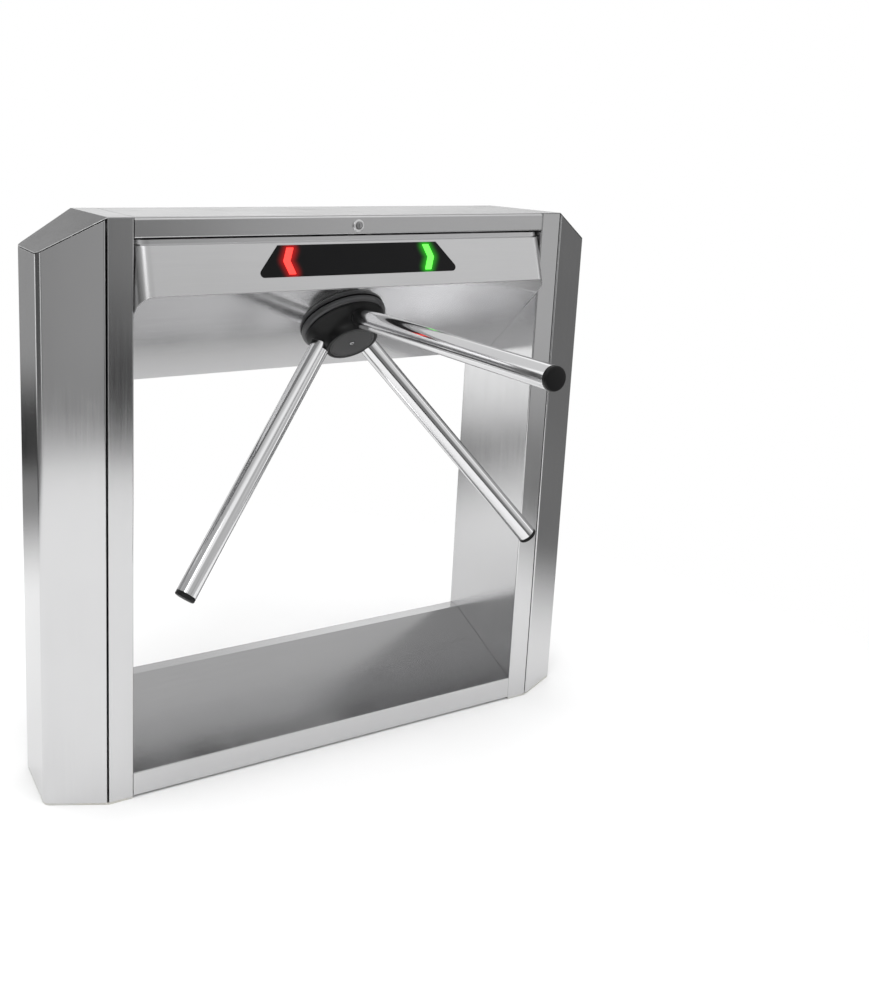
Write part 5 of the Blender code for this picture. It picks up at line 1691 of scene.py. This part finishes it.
@dataclass
class Studio:
    """Pale floor, soft light and the camera at the photograph's angle."""

    pitch: float = -10.3876
    yaw: float = 25.9908
    roll: float = 1.4128
    spot: tuple[float, float, float] = (-0.9376, -1.4064, 1.1424)
    lens: float = 37.03
    shift: tuple[float, float] = (0.170, -0.170)
    bars: tuple[float, ...] = (-52.0, -140.0, 62.0)
    floor_radius: float = 2.1
    floor_middle: tuple[float, float, float] = (-0.6, -0.3, 0.0)
    wide: tuple[float, float] = (0.30, 0.80)

    def floor(self) -> None:
        """Lay the pale floor."""
        data = bmesh.new()
        data.faces.new([data.verts.new((p.x, p.y, 0.0)) for p in circle(self.floor_radius, 96)])
        piece = Piece("studio_floor", data)
        piece.obj.location = self.floor_middle
        piece.obj.data.materials.append(PaleFloor("pale_floor").material())

    def sky(self) -> None:
        """Make the soft surroundings: white to the eye, shaded by direction where steel mirrors them."""
        world = bpy.data.worlds.new("soft_studio")
        world.use_nodes = True
        bpy.context.scene.world = world
        graph = Graph(world.node_tree)
        # z is the sine of the height above the horizon; the other numbers are shares of white.
        x, y, z = graph.parts(graph.spot("Generated"))
        level = (1.0 - z * z).most(0.0001) ** 0.5
        east, north = x / level, y / level
        front, back = (-north).rise(*self.wide), north.rise(*self.wide)
        ahead, behind = (-north).rise(0.87, 0.96), north.rise(0.86, 0.96)
        horizon = 0.60 - ahead * 0.36 - (-east).rise(*self.wide) * 0.48
        horizon = horizon - east.rise(0.80, 1.0) * 0.40 + north.rise(0.50, 0.95) * 0.55
        horizon = horizon - behind * (1.0 - z.rise(-0.08, 0.0)) * 0.80
        above = 0.46 + front * (0.10 + east.rise(0.28, 0.62) * 0.30) - back * 0.22
        sweep = z.rise(0.11, 0.22)
        light = horizon * (1.0 - sweep) + above * sweep
        light = light + back * z.rise(0.34, 0.46) * (0.55 + east.rise(0.35, 0.62) * 0.65)
        light = light + front * z.rise(0.50, 0.60) * 0.55
        for way in self.bars:
            turn = math.radians(way)
            facing = east * math.sin(turn) - north * math.cos(turn)
            light = light + facing.rise(0.9950, 0.9985) * (1.0 - z.rise(0.35, 0.70)) * 0.95
        roof = z.rise(0.70, 0.88)
        light = light * (1.0 - roof) + roof * 0.60
        ground = (z - ahead * 0.09 - behind * 0.021).rise(-0.29, -0.22)
        dark = 0.22 - ahead * 0.19 - north.rise(0.50, 0.90) * 0.185
        dark = dark + behind * (1.0 - z.rise(-0.325, -0.295)) * 0.27
        light = light * ground + (1.0 - ground) * dark
        shade = graph.tint(light * 0.5, grey(0.0), grey(2.0))
        seen = graph.node("ShaderNodeLightPath").outputs["Is Camera Ray"]
        mixed = graph.tint(Value(graph, seen), shade, grey(1.0))
        sky = world.node_tree.nodes["Background"]
        graph.feed(sky.inputs["Color"], mixed)
        sky.inputs["Strength"].default_value = 1.0

    def lamp(self, name: str, light: bpy.types.Light, spot: Point, aim: Point, power: float,
             mirrored: bool) -> None:
        """Hang one lamp.

        Args:
            name: its name.
            light: the lamp's data.
            spot: where it hangs.
            aim: what it points at.
            power: its power.
            mirrored: whether shiny surfaces show it.
        """
        light.energy = power
        holder = bpy.data.objects.new(name, light)
        bpy.context.scene.collection.objects.link(holder)
        way = Vector(aim) - Vector(spot)
        holder.matrix_world = Matrix.LocRotScale(Vector(spot), way.to_track_quat("-Z", "Y"), None)
        holder.visible_glossy = mirrored

    def lamps(self) -> None:
        """Hang the wide soft light that whitens the floor, and a small key light."""
        wide = bpy.data.lights.new("overhead_light", "SUN")
        wide.angle = math.radians(70.0)
        self.lamp("overhead_light", wide, (-0.6, -0.5, 3.0), (0.0, 0.1, 0.0), 2.2, False)
        key = bpy.data.lights.new("key_light", "AREA")
        key.shape = "RECTANGLE"
        key.size, key.size_y = 0.55, 0.9
        self.lamp("key_light", key, (-2.0, -1.5, 2.5), (0.0, 0.2, 0.8), 6.0, True)

    def camera(self) -> None:
        """Put the camera where the photograph was taken from."""
        pitch, yaw, roll = (math.radians(a) for a in (self.pitch, self.yaw, self.roll))
        ahead = Vector((math.sin(yaw) * math.cos(pitch), math.cos(yaw) * math.cos(pitch), math.sin(pitch)))
        level = Vector((math.cos(yaw), -math.sin(yaw), 0.0))
        upright = level.cross(ahead)
        right = level * math.cos(roll) + upright * math.sin(roll)
        up = upright * math.cos(roll) - level * math.sin(roll)
        turn = Matrix((right, up, -ahead)).transposed()
        lens = bpy.data.cameras.new("photo_camera")
        lens.sensor_width = 36.0
        lens.lens = self.lens
        lens.shift_x, lens.shift_y = self.shift
        lens.clip_start = 0.01
        holder = bpy.data.objects.new("photo_camera", lens)
        bpy.context.scene.collection.objects.link(holder)
        holder.matrix_world = Matrix.Translation(self.spot) @ turn.to_4x4()
        bpy.context.scene.camera = holder

    def build(self) -> None:
        """Set the studio up."""
        self.floor()
        self.sky()
        self.lamps()
        self.camera()
        view = bpy.context.scene.view_settings
        view.view_transform = "Standard"
        view.look = "None"
        log.info("studio is set")


def main() -> None:
    """Build the turnstile's looks, from the posts to the studio."""
    logging.basicConfig(level=logging.INFO, format="%(name)s: %(message)s")
    arrows = ArrowShape()
    zinc = ZincPlate("zinc_plated")
    machined = MachinedSteel("machined_steel")
    board = CircuitBoard("circuit_board")
    cabinet = Cabinet()
    upright = BrushedSteel("upright_steel", grain=Grain.UP, roughness=0.17)
    cover = BrushedSteel("cover_steel", grain=Grain.UP, roughness=0.15)
    level = BrushedSteel("level_steel")
    fascia = BrushedSteel("fascia_steel", tone=0.62, roughness=0.30)
    plate = BrushedSteel("plate_steel", tone=0.62, roughness=0.13)
    tray = BrushedSteel("tray_steel", tone=0.58, roughness=0.16)
    Posts(cabinet, upright, cover, level, zinc).build()
    BaseTray(cabinet, tray).build()
    housing = UpperHousing(cabinet, plate, fascia, level)
    sign = Sign(SmokedGlass("smoked_glass", arrows=arrows),
                LitArrow("stop_light", "stop_light", (1.0, 0.11, 0.095), (1.0, 0.05, 0.04), arrows),
                LitArrow("go_light", "go_light", (0.24, 0.96, 0.09), (0.14, 0.90, 0.04), arrows),
                board, arrows)
    housing.build(sign)
    sign.build(housing)
    Lid(cabinet, level, ChromePlate("bright_chrome"), ChromePlate("plug_chrome", tone=0.42), machined,
        zinc).build()
    Rotor(SatinBlack("disc_black", tone=0.042, roughness=0.36),
          SatinBlack("hub_black", tone=0.0045, roughness=0.34, sheen=0.20),
          SatinBlack("cap_black", tone=0.010, roughness=0.33),
          SatinBlack("end_black", tone=0.006, sheen=0.2),
          PolishedTube("polished_tube"), ChromePlate("screw_steel", "machined_steel", 0.55)).build()
    Mechanism(machined, MachinedSteel("hardened_steel", tone=0.34), zinc,
              SatinBlack("inner_black", tone=0.015), board).build()
    Studio().build()


if __name__ == "__main__":
    main()
